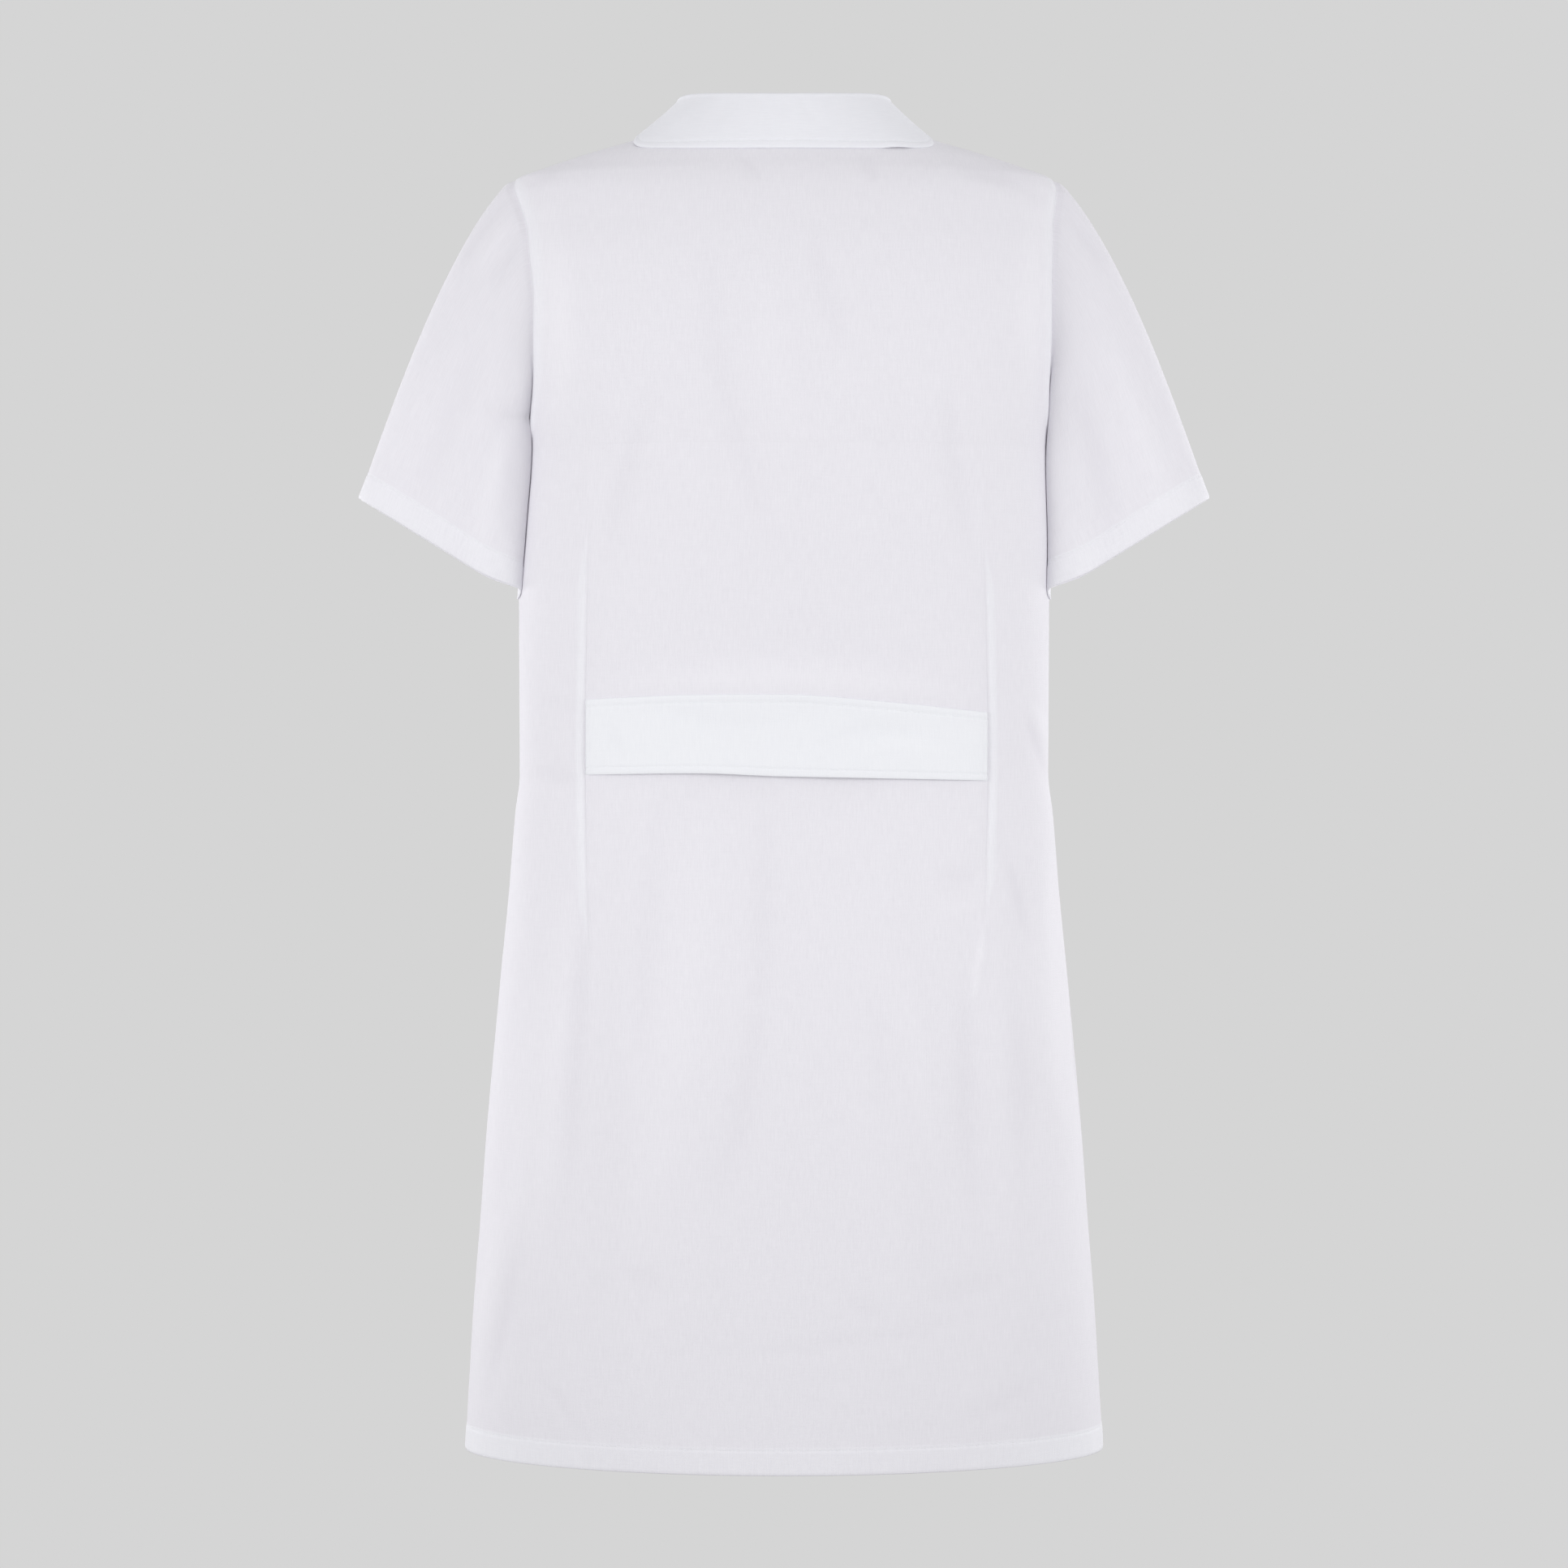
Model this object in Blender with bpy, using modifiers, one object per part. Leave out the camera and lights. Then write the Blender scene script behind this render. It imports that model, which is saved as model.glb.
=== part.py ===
"""A knee-length medical tunic, worn and hollow, from the pieces that a maker cuts and sews.

Metres, +Z up. The wearer faces -Y, so the back of the tunic faces +Y and the wearer's left is +X.
The origin lies midway between the side neck points, where the wearer's shoulders carry the tunic.
"""

import math
from collections import namedtuple

import bmesh
import bpy
import numpy as np

CLOTH = 0.0016
DOUBLE_CLOTH = 0.0019
SEAM_GAP = 0.0003
LAYER_GAP = 0.0006

NECK_Z = 0.011
SHOULDER_Z = -0.0285
UNDERARM_Z = -0.235
ARMHOLE_MID_Z = (SHOULDER_Z + UNDERARM_Z) / 2
ARMHOLE_HALF_HEIGHT = (SHOULDER_Z - UNDERARM_Z) / 2
ARMHOLE_STEPS = 14
ARMHOLE_POWERS = (0.5, 0.7)
# How far each armhole's edge is cut in from the side seam, at its widest.
ARMHOLE_DEPTHS = {("back", 1): 0.060, ("back", -1): 0.044, ("front", 1): 0.060, ("front", -1): 0.062}
ROW_STEP = 0.062
ROW_LEAST = 0.0005

# The hollow form that the tunic takes: one row for each level, from the neck to the hem. Squareness
# is the exponent of the section's superellipse, and 2 is an ellipse. Shift moves a section sideways.
Section = namedtuple("Section", "z half_width back front squareness shift")
SECTIONS = (
    Section(0.012, 0.0745, 0.0575, 0.0560, 1.90, 0.0000),
    Section(0.000, 0.1160, 0.0650, 0.0620, 1.80, 0.0000),
    Section(-0.010, 0.1515, 0.0700, 0.0670, 1.75, 0.0000),
    Section(-0.020, 0.1815, 0.0765, 0.0720, 1.75, 0.0000),
    Section(-0.0285, 0.2030, 0.0825, 0.0770, 1.80, 0.0000),
    Section(-0.040, 0.2095, 0.0890, 0.0830, 1.90, 0.0000),
    Section(-0.060, 0.2120, 0.0975, 0.0920, 2.00, 0.0000),
    Section(-0.090, 0.2120, 0.1070, 0.1040, 2.20, 0.0000),
    Section(-0.120, 0.2105, 0.1125, 0.1140, 2.30, -0.0010),
    Section(-0.160, 0.2065, 0.1155, 0.1240, 2.40, -0.0020),
    Section(-0.200, 0.2010, 0.1155, 0.1290, 2.40, -0.0027),
    Section(-0.235, 0.1980, 0.1135, 0.1290, 2.30, -0.0033),
    Section(-0.300, 0.2000, 0.1070, 0.1220, 2.25, -0.0020),
    Section(-0.350, 0.2006, 0.1000, 0.1130, 2.25, 0.0000),
    Section(-0.420, 0.2003, 0.0910, 0.1020, 2.30, 0.0000),
    Section(-0.479, 0.2000, 0.0870, 0.0980, 2.35, 0.0000),
    Section(-0.507, 0.2033, 0.0910, 0.1010, 2.30, 0.0000),
    Section(-0.568, 0.2082, 0.1040, 0.1080, 2.25, 0.0000),
    Section(-0.630, 0.2143, 0.1170, 0.1150, 2.20, 0.0000),
    Section(-0.691, 0.2199, 0.1270, 0.1200, 2.20, 0.0000),
    Section(-0.753, 0.2254, 0.1340, 0.1250, 2.15, 0.0000),
    Section(-0.814, 0.2297, 0.1390, 0.1300, 2.15, 0.0000),
    Section(-0.876, 0.2346, 0.1435, 0.1350, 2.10, 0.0000),
    Section(-0.937, 0.2383, 0.1470, 0.1390, 2.05, 0.0000),
    Section(-0.988, 0.2413, 0.1500, 0.1420, 1.94, 0.0000),
)

# Fish-eye darts: a seam that is widest at the waist. x is given at its upper end, waist and lower end.
Dart = namedtuple("Dart", "piece x_top x_waist x_low z_top z_low")
DARTS = (
    Dart("back", 0.1443, 0.1485, 0.1443, -0.284, -0.614),
    Dart("back", -0.1480, -0.1525, -0.1480, -0.296, -0.590),
    Dart("front", 0.1050, 0.1080, 0.1050, -0.260, -0.590),
    Dart("front", -0.1050, -0.1080, -0.1050, -0.260, -0.590),
)
WAIST_Z = -0.465
DART_DEEP = 0.0014
DART_HALF = 0.009

# The largest soft folds, each a ridge that runs down the skirt or back: x and z of both ends.
Fold = namedtuple("Fold", "piece x_top z_top x_low z_low half_width rise")
FOLDS = (
    Fold("back", 0.100, -0.490, 0.118, -0.960, 0.034, 0.0032),
    Fold("back", 0.018, -0.495, 0.052, -0.900, 0.030, 0.0024),
    Fold("back", -0.070, -0.520, -0.085, -0.960, 0.036, 0.0028),
    Fold("back", -0.158, -0.540, -0.180, -0.900, 0.026, 0.0024),
    Fold("back", 0.175, -0.640, 0.205, -0.970, 0.024, 0.0022),
    Fold("back", 0.052, -0.110, 0.026, -0.330, 0.026, 0.0016),
    Fold("back", -0.048, -0.120, -0.075, -0.350, 0.030, 0.0015),
    Fold("front", 0.075, -0.500, 0.095, -0.960, 0.034, 0.0030),
    Fold("front", 0.150, -0.560, 0.176, -0.950, 0.028, 0.0026),
    Fold("front", -0.070, -0.510, -0.088, -0.960, 0.034, 0.0030),
    Fold("front", -0.146, -0.570, -0.172, -0.950, 0.028, 0.0026),
)
FOLD_PEAK = 0.8
FOLD_FLATNESS = 0.7

LAP = 0.018
LAP_TUCK = CLOTH + LAYER_GAP
LAP_FLAT = 0.026
LAP_BLEND = 0.055
NECK_SIDE_X = 0.0745
NECK_V_Z = ARMHOLE_MID_Z
NECK_CURVE = 0.87
FRONT_NECK_LEVELS = (0.0045, 0.0080, 0.0100)
FRONT_TOP_Z = 0.0109

# Places of the columns of points: from the centre line to the dart, and from the dart to the seam.
COLUMNS_TO_DART = (0.0, 0.24, 0.48, 0.72, 0.93, 1.0)
COLUMNS_TO_SEAM = (0.08, 0.27, 0.47, 0.67, 0.86, 1.0)
DART_REACH = 0.70

CUFF_OUTER = (0.3232, -0.2690)
CUFF_INNER = (0.1980, -0.3462)
CUFF_Y = -0.016
CUFF_HALF_DEPTH = 0.047
CAP_RISE = 0.0140
CAP_RISE_PEAK = 0.333
CAP_RISE_POWERS = (0.6, 1.2)
CAP_RISE_SPREAD = 4
SLEEVE_FULLNESS = 0.004
SLEEVE_ROWS = (0.0, 0.05, 0.12, 0.22, 0.34, 0.48, 0.62, 0.76, 0.89, 1.0)
SLEEVE_GAP = 0.0008
SLEEVE_CLEAR = 0.0013

# The collar, from the centre back (way 0) by the side neck (way 1) to the front (way 2): the level of
# the neckline, how high the collar stands there, where its outer edge lies over the body and how far
# off it, and how far the fall bulges between the two.
Station = namedtuple("Station", "way neck_z stand edge_x edge_z off crown")
COLLAR = (
    Station(0.00, 0.0110, 0.0141, 0.0000, -0.0145, 0.0052, 0.0022),
    Station(0.20, 0.0110, 0.0147, 0.0300, -0.0143, 0.0052, 0.0020),
    Station(0.40, 0.0110, 0.0160, 0.0580, -0.0137, 0.0052, 0.0014),
    Station(0.60, 0.0110, 0.0178, 0.0830, -0.0125, 0.0052, 0.0008),
    Station(0.75, 0.0110, 0.0186, 0.1000, -0.0111, 0.0050, 0.0002),
    Station(0.85, 0.0110, 0.0186, 0.1095, -0.0092, 0.0050, -0.0003),
    Station(0.92, 0.0110, 0.0184, 0.1125, -0.0060, 0.0050, -0.0006),
    Station(0.96, 0.0110, 0.0183, 0.1118, -0.0018, 0.0050, -0.0006),
    Station(1.00, 0.0110, 0.0182, 0.1096, 0.0022, 0.0050, -0.0004),
    Station(1.07, 0.0108, 0.0180, 0.1110, -0.0020, 0.0050, -0.0002),
    Station(1.15, 0.0100, 0.0176, 0.1130, -0.0080, 0.0050, 0.0002),
    Station(1.22, 0.0080, 0.0172, 0.1147, -0.0140, 0.0052, 0.0010),
    Station(1.30, 0.0045, 0.0164, 0.1148, -0.0230, 0.0052, 0.0016),
    Station(1.38, 0.0000, 0.0154, 0.1140, -0.0350, 0.0052, 0.0022),
    Station(1.48, -0.0100, 0.0140, 0.1105, -0.0530, 0.0052, 0.0024),
    Station(1.55, -0.0200, 0.0127, 0.1066, -0.0668, 0.0052, 0.0024),
    Station(1.62, -0.0311, 0.0114, 0.1018, -0.0810, 0.0052, 0.0024),
    Station(1.67, -0.0387, 0.0106, 0.0985, -0.0892, 0.0052, 0.0024),
    Station(1.74, -0.0510, 0.0094, 0.0933, -0.1028, 0.0052, 0.0022),
    Station(1.87, -0.0774, 0.0071, 0.0822, -0.1272, 0.0052, 0.0020),
    Station(2.00, -0.1088, 0.0050, 0.0700, -0.1500, 0.0052, 0.0018),
)
COLLAR_END_X = 0.0015
COLLAR_FOLD = 0.0052
FOLD_IN = 0.3
FOLD_UP = 0.7
FALL_STEPS = (0.0, 0.25, 0.5, 0.75, 1.0)
COLLAR_SEAT = 0.0006
COLLAR_LIFT = 0.7
COLLAR_TURN = 1.4

# The half belt's edges, from its end at the wearer's left dart to its end at the right dart.
Edge = namedtuple("Edge", "x z_top z_bottom")
BELT_EDGES = (
    Edge(0.1470, -0.4232, -0.4792),
    Edge(0.0640, -0.4200, -0.4782),
    Edge(0.0030, -0.4197, -0.4805),
    Edge(-0.0800, -0.4255, -0.4822),
    Edge(-0.1510, -0.4328, -0.4836),
)
BELT_STEPS = 20
BELT_ROWS = (0.0, 0.33, 0.67, 1.0)
BELT_STAND_OFF = 0.0022

BUTTON_COUNT = 8
BUTTON_TOP_Z = -0.145
BUTTON_PITCH = 0.094
BUTTON_RADIUS = 0.0080
BUTTON_THICK = 0.0028
BUTTON_BEVEL = 0.0006
BUTTON_SIDES = 16

SHARP_ANGLE = math.radians(50)


def start_empty():
    """Removes whatever the file holds, and gives the collection that the tunic's pieces go into."""
    for found in list(bpy.data.objects):
        bpy.data.objects.remove(found, do_unlink=True)
    pieces = bpy.data.collections.new("medical_tunic")
    bpy.context.scene.collection.children.link(pieces)
    return pieces


def make_material(name, colour, roughness):
    """A plain Principled material."""
    material = bpy.data.materials.new(name)
    material.use_nodes = True
    shader = material.node_tree.nodes["Principled BSDF"]
    shader.inputs["Base Color"].default_value = (*colour, 1.0)
    shader.inputs["Roughness"].default_value = roughness
    shader.inputs["Metallic"].default_value = 0.0
    return material


def unit(vector):
    """The vector at length 1."""
    return vector / np.linalg.norm(vector)


def ease(value):
    """A smooth step from 0 to 1."""
    held = min(max(value, 0.0), 1.0)
    return held * held * (3.0 - 2.0 * held)


def make_curve(rows):
    """A function that runs smoothly through rows of (place, value), without overshoot."""
    ordered = sorted(rows)
    places = [row[0] for row in ordered]
    values = [row[1] for row in ordered]
    steps = [(b - a) / (q - p) for a, b, p, q in zip(values, values[1:], places, places[1:])]
    slopes = [steps[0]]
    for before, after in zip(steps, steps[1:]):
        slopes.append(0.0 if before * after <= 0 else 2.0 * before * after / (before + after))
    slopes.append(steps[-1])

    def curve(place):
        inside = min(max(place, places[0]), places[-1])
        index = min(max(int(np.searchsorted(places, inside)) - 1, 0), len(places) - 2)
        width = places[index + 1] - places[index]
        t = (inside - places[index]) / width
        rise = values[index + 1] - values[index]
        bend_in = slopes[index] * width - rise
        bend_out = rise - slopes[index + 1] * width
        return values[index] + rise * t + t * (1.0 - t) * ((1.0 - t) * bend_in + t * bend_out)

    return curve


def section_curve(column):
    """The smooth course of one column of the sections table over z."""
    return make_curve([(row.z, getattr(row, column)) for row in SECTIONS])


HALF_WIDTH = section_curve("half_width")
DEPTH = {"back": section_curve("back"), "front": section_curve("front")}
SQUARENESS = section_curve("squareness")
SHIFT = section_curve("shift")
FACING = {"back": 1.0, "front": -1.0}
SLOPE_STEP = 0.001


def lateral_at_x(x, z):
    """The lateral place, -1 to 1 from seam to seam, at which the form's section at z has this x."""
    inward = x - SHIFT(z)
    share = min(abs(inward) / HALF_WIDTH(z), 1.0)
    return math.copysign(math.asin(share ** (SQUARENESS(z) / 2.0)) / (math.pi / 2.0), inward)


def lateral_at_y(y, z, piece):
    """The lateral place, 0 to 1, at which the form's section at z is this deep."""
    share = min(y / DEPTH[piece](z), 1.0)
    return math.acos(share ** (SQUARENESS(z) / 2.0)) / (math.pi / 2.0)


def form_point(lateral, z, piece):
    """The point of the form at a lateral place and a level."""
    power = 2.0 / SQUARENESS(z)
    angle = abs(lateral) * math.pi / 2.0
    x = math.copysign(HALF_WIDTH(z) * math.sin(angle) ** power, lateral)
    y = FACING[piece] * DEPTH[piece](z) * max(math.cos(angle), 0.0) ** power
    return np.array((x + SHIFT(z), y, z))


def form_normal(point, piece):
    """The outward direction of the form at one of its points."""
    y, z = point[1], point[2]
    x = point[0] - SHIFT(z)
    step = SLOPE_STEP
    wide, deep, power = HALF_WIDTH(z), DEPTH[piece](z), SQUARENESS(z)
    wide_slope = (HALF_WIDTH(z + step) - HALF_WIDTH(z - step)) / (2.0 * step)
    deep_slope = (DEPTH[piece](z + step) - DEPTH[piece](z - step)) / (2.0 * step)
    across = (abs(x) / wide) ** (power - 1.0)
    along = (abs(y) / deep) ** (power - 1.0)
    rise = across * abs(x) / wide * wide_slope / wide + along * abs(y) / deep * deep_slope / deep
    normal = np.array((math.copysign(across / wide, x), FACING[piece] * along / deep, -rise))
    return normal / np.linalg.norm(normal)


def dart_x(dart, z):
    """The x of a dart's seam at a level."""
    return make_curve([(dart.z_low, dart.x_low), (WAIST_Z, dart.x_waist), (dart.z_top, dart.x_top)])(z)


def dart_relief(piece, x, z):
    """How far the darts of a piece pull its surface in."""
    pull = 0.0
    for dart in DARTS:
        if dart.piece != piece or not dart.z_low < z < dart.z_top:
            continue
        near = max(0.0, 1.0 - abs(x - dart_x(dart, z)) / DART_HALF)
        reach = (dart.z_top - WAIST_Z) if z > WAIST_Z else (WAIST_Z - dart.z_low)
        pull += DART_DEEP * near * near * ease(1.0 - abs(z - WAIST_Z) / reach)
    return -pull


def fold_relief(piece, x, z):
    """How far the large folds of a piece lift its surface."""
    lift = 0.0
    for fold in FOLDS:
        along = (fold.z_top - z) / (fold.z_top - fold.z_low)
        if fold.piece != piece or not 0.0 < along < 1.0:
            continue
        middle = fold.x_top + (fold.x_low - fold.x_top) * along
        across = abs(x - middle) / fold.half_width
        if across < 1.0:
            swell = math.sin(math.pi * along ** FOLD_PEAK) ** FOLD_FLATNESS
            lift += fold.rise * ease(1.0 - across) * swell
    return lift


def tuck_under(piece, side, x):
    """How far the wearer's left front dips, to pass under the right front at the centre."""
    if piece != "front" or side < 0:
        return 0.0
    return -LAP_TUCK * ease((LAP_BLEND - x) / (LAP_BLEND - LAP_FLAT))


def cloth_point(lateral, z, piece, side=0):
    """The outer face of the cloth, and its outward direction, at a lateral place and a level."""
    point = form_point(lateral, z, piece)
    normal = form_normal(point, piece)
    x = point[0]
    relief = dart_relief(piece, x, z) + fold_relief(piece, x, z) + tuck_under(piece, side, x)
    return point + normal * relief, normal


def armhole_depth(z, piece, side):
    """How far the armhole's edge lies from the side and shoulder seams, and half a gap elsewhere."""
    share = (z - ARMHOLE_MID_Z) / ARMHOLE_HALF_HEIGHT
    if abs(share) >= 1.0:
        return SEAM_GAP / 2.0
    low_power, top_power = ARMHOLE_POWERS
    power = top_power if share > 0.0 else low_power
    depth = ARMHOLE_DEPTHS[piece, side] * (1.0 - share * share) ** power
    return max(depth, SEAM_GAP / 2.0)


def edge_lateral(z, piece, side):
    """The lateral place of a panel's outer edge: side seam, armhole, then shoulder seam."""
    return lateral_at_y(armhole_depth(z, piece, side), z, piece)


def neckline_x(z):
    """The front neckline's distance from the centre, negative where the lap crosses the centre."""
    share = (z - NECK_V_Z) / (NECK_Z - NECK_V_Z)
    return -LAP + (NECK_SIDE_X + LAP) * max(share, 0.0) ** NECK_CURVE


def armhole_levels():
    """The z of each armhole point from the shoulder point down to the underarm."""
    angles = [math.pi * step / ARMHOLE_STEPS for step in range(ARMHOLE_STEPS + 1)]
    return [ARMHOLE_MID_Z + ARMHOLE_HALF_HEIGHT * math.cos(angle) for angle in angles]


def panel_levels(top):
    """The z of each row of a body panel, from the hem up."""
    marks = [row.z for row in reversed(SECTIONS) if row.z < UNDERARM_Z - ROW_STEP / 4]
    marks.append(UNDERARM_Z)
    levels = []
    for low, high in zip(marks, marks[1:]):
        count = math.ceil((high - low) / ROW_STEP)
        levels += [low + (high - low) * step / count for step in range(count)]
    levels += reversed(armhole_levels())
    levels += [row.z for row in reversed(SECTIONS) if SHOULDER_Z < row.z < top - ROW_LEAST]
    levels += FRONT_NECK_LEVELS if top == FRONT_TOP_Z else ()
    return levels + [top]


def column_laterals(inner, dart, outer):
    """Lateral places from a panel's inner edge by its dart to its outer edge."""
    first = [inner + (dart - inner) * share for share in COLUMNS_TO_DART]
    return first + [dart + (outer - dart) * share for share in COLUMNS_TO_SEAM]


def dart_lateral(piece, side, z, inner, outer):
    """The lateral place of the dart's column, kept between the panel's edges above the dart."""
    dart = next(row for row in DARTS if row.piece == piece and row.x_top * side > 0)
    wanted = side * lateral_at_x(dart_x(dart, z), z)
    return min(wanted, inner + (outer - inner) * DART_REACH)


def link_object(name, mesh, material, pieces):
    """Puts a finished mesh into the collection as a named piece."""
    mesh.materials.append(material)
    mesh.shade_smooth()
    mesh.set_sharp_from_angle(angle=SHARP_ANGLE)
    made = bpy.data.objects.new(name, mesh)
    pieces.objects.link(made)
    return made


def wall_mesh(name, outer, inner, closed):
    """A closed wall between two grids of points. closed joins the last column to the first."""
    rows, columns = len(outer), len(outer[0])
    made = bmesh.new()
    skins = [[[made.verts.new(point) for point in row] for row in grid] for grid in (outer, inner)]
    spans = columns if closed else columns - 1

    def face(*corners):
        made.faces.new(corners)

    for row in range(rows - 1):
        for column in range(spans):
            beside = (column + 1) % columns
            for skin in skins:
                face(skin[row][column], skin[row][beside], skin[row + 1][beside], skin[row + 1][column])
    for row in (0, rows - 1):
        for column in range(spans):
            beside = (column + 1) % columns
            face(skins[0][row][column], skins[0][row][beside], skins[1][row][beside], skins[1][row][column])
    for column in () if closed else (0, columns - 1):
        for row in range(rows - 1):
            face(
                skins[0][row][column],
                skins[0][row + 1][column],
                skins[1][row + 1][column],
                skins[1][row][column],
            )
    bmesh.ops.recalc_face_normals(made, faces=made.faces)
    mesh = bpy.data.meshes.new(name)
    made.to_mesh(mesh)
    made.free()
    return mesh


def make_back(material, pieces):
    """The back, in one piece from side seam to side seam, with two fish-eye darts."""
    outer, inner = [], []
    for z in panel_levels(NECK_Z):
        halves = []
        for side in (-1, 1):
            edge = edge_lateral(z, "back", side)
            halves.append(column_laterals(0.0, dart_lateral("back", side, z, 0.0, edge), edge))
        right, left = halves
        row = [-place for place in reversed(right[1:])] + left
        found = [cloth_point(place, z, "back") for place in row]
        outer.append([point for point, _ in found])
        inner.append([point - normal * CLOTH for point, normal in found])
    return link_object("back", wall_mesh("back", outer, inner, False), material, pieces)


def front_inner_lateral(z, side):
    """The lateral place of a front's inner edge, its lap's edge and then its neckline, counted outward."""
    x = neckline_x(z) if z > NECK_V_Z else -LAP
    return side * lateral_at_x(side * x, z)


def make_front(side, material, pieces):
    """One front, from its side seam to its lap past the centre. side is 1 on the wearer's left."""
    outer, inner = [], []
    for z in panel_levels(FRONT_TOP_Z):
        edge = edge_lateral(z, "front", side)
        start = front_inner_lateral(z, side)
        row = column_laterals(start, dart_lateral("front", side, z, start, edge), edge)
        found = [cloth_point(place * side, z, "front", side) for place in row]
        outer.append([point for point, _ in found])
        inner.append([point - normal * CLOTH for point, normal in found])
    name = "front_left" if side > 0 else "front_right"
    return link_object(name, wall_mesh(name, outer, inner, False), material, pieces)


def armhole_ring(side):
    """The armhole's points and the cloth's outward directions, from the shoulder by the back round."""
    levels = armhole_levels()
    ring = [("back", z) for z in levels] + [("front", z) for z in reversed(levels[1:-1])]
    found = [cloth_point(edge_lateral(z, piece, side) * side, z, piece, side) for piece, z in ring]
    return [point for point, _ in found], [normal for _, normal in found]


def ring_shares(points):
    """Each ring point's share of the way from the top to the underarm, by length, on its own half."""
    low = ARMHOLE_STEPS
    count = len(points)
    lengths = [np.linalg.norm(points[(index + 1) % count] - points[index]) for index in range(count)]
    back = np.concatenate(([0.0], np.cumsum(lengths[:low])))
    front = np.concatenate(([0.0], np.cumsum(lengths[low:])))
    shares = list(back / back[-1])
    return shares + [1.0 - value / front[-1] for value in front[1:-1]]


def cap_rise(along):
    """How far the sleeve's top line stands off the straight line from shoulder to cuff."""
    if not 0.0 < along < 1.0:
        return 0.0
    first, second = CAP_RISE_POWERS
    rising = (along / CAP_RISE_PEAK) ** first
    return CAP_RISE * rising * ((1.0 - along) / (1.0 - CAP_RISE_PEAK)) ** second


def clear_of_body(point, side):
    """The point, moved sideways where it would lie nearer than the sleeve's clearance to the body."""
    x, y, z = point
    piece = "back" if y >= 0.0 else "front"
    if z > SHOULDER_Z or abs(y) < armhole_depth(z, piece, side) - SLEEVE_CLEAR:
        return point
    share = min(abs(y) / DEPTH[piece](z), 1.0) ** SQUARENESS(z)
    beside = HALF_WIDTH(z) * (1.0 - share) ** (1.0 / SQUARENESS(z)) + SHIFT(z) * side + SLEEVE_CLEAR
    return np.array((side * max(x * side, beside), y, z))


def sleeve_grid(side):
    """The sleeve's outer points, a row for each share of the way from the armhole to the cuff."""
    start, start_normals = armhole_ring(side)
    shares = ring_shares(start)
    outer_x, outer_z = CUFF_OUTER
    inner_x, inner_z = CUFF_INNER
    centre = np.array((side * (outer_x + inner_x) / 2.0, CUFF_Y, (outer_z + inner_z) / 2.0))
    wide = np.array((side * (outer_x - inner_x) / 2.0, 0.0, (outer_z - inner_z) / 2.0))
    rows = []
    for along in SLEEVE_ROWS:
        row = []
        for index, share in enumerate(shares):
            facing = 1.0 if index <= ARMHOLE_STEPS else -1.0
            angle = math.pi * share
            deep = np.array((0.0, facing * CUFF_HALF_DEPTH * math.sin(angle), 0.0))
            cuff = centre + wide * math.cos(angle) + deep
            away = cuff - start[index]
            rise_way = np.array((-away[2] * side, 0.0, away[0] * side))
            rise_way = unit(rise_way)
            top = math.cos(angle / 2.0) ** CAP_RISE_SPREAD
            full = SLEEVE_FULLNESS * math.sin(math.pi * along) * math.sin(angle)
            point = start[index] + away * along + rise_way * (cap_rise(along) * top)
            point = point + np.array((0.0, facing * full, 0.0))
            row.append(clear_of_body(point, side) if along > 0.0 else point)
        rows.append(row)
    return rows, start_normals


def tube_normals(rows):
    """The outward direction at each point of a tube, away from its middle line."""
    points = np.array(rows)
    around = np.roll(points, -1, axis=1) - np.roll(points, 1, axis=1)
    along = np.gradient(points, axis=0)
    normals = np.cross(around, along)
    normals /= np.linalg.norm(normals, axis=2, keepdims=True)
    outward = ((points - points.mean(axis=1, keepdims=True)) * normals).sum(axis=2)
    flips = np.where(outward.mean() < 0.0, -1.0, 1.0)
    return normals * flips


def make_sleeve(side, material, pieces):
    """A short set-in sleeve: an open tube from the armhole to the cuff."""
    rows, body_normals = sleeve_grid(side)
    normals = tube_normals(rows)
    points = np.array(rows)
    body = np.array(body_normals)
    agree = np.clip((normals[0] * body).sum(axis=1, keepdims=True), 0.0, 1.0)
    away = points[1] - points[0]
    away /= np.linalg.norm(away, axis=1, keepdims=True)
    points[0] += SLEEVE_GAP * (away * agree + body * (1.0 - agree))
    points[1] += SLEEVE_GAP * body * (1.0 - agree)
    normals[0] = normals[0] + 2.0 * agree * body
    normals[0] /= np.linalg.norm(normals[0], axis=1, keepdims=True)
    name = "sleeve_left" if side > 0 else "sleeve_right"
    mesh = wall_mesh(name, points, points - normals * CLOTH, True)
    return link_object(name, mesh, material, pieces)


def collar_base(way, z, side):
    """The neckline's point and outward direction, and the directions up and out, at a place on it."""
    up = np.array((0.0, 0.0, 1.0))
    if way <= 1.0:
        base, normal = cloth_point(way * side, NECK_Z, "back")
        return base, normal, up, unit(np.array((normal[0], normal[1], 0.0)))
    x = max(neckline_x(z), COLLAR_END_X)
    base, normal = cloth_point(lateral_at_x(x * side, z), z, "front", side)
    turn = ease((way - 1.0) * COLLAR_TURN)
    rise = unit(up * (1.0 - turn) + normal * turn)
    return base, normal, rise, unit(np.array((normal[0], normal[1], 0.0)))


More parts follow.
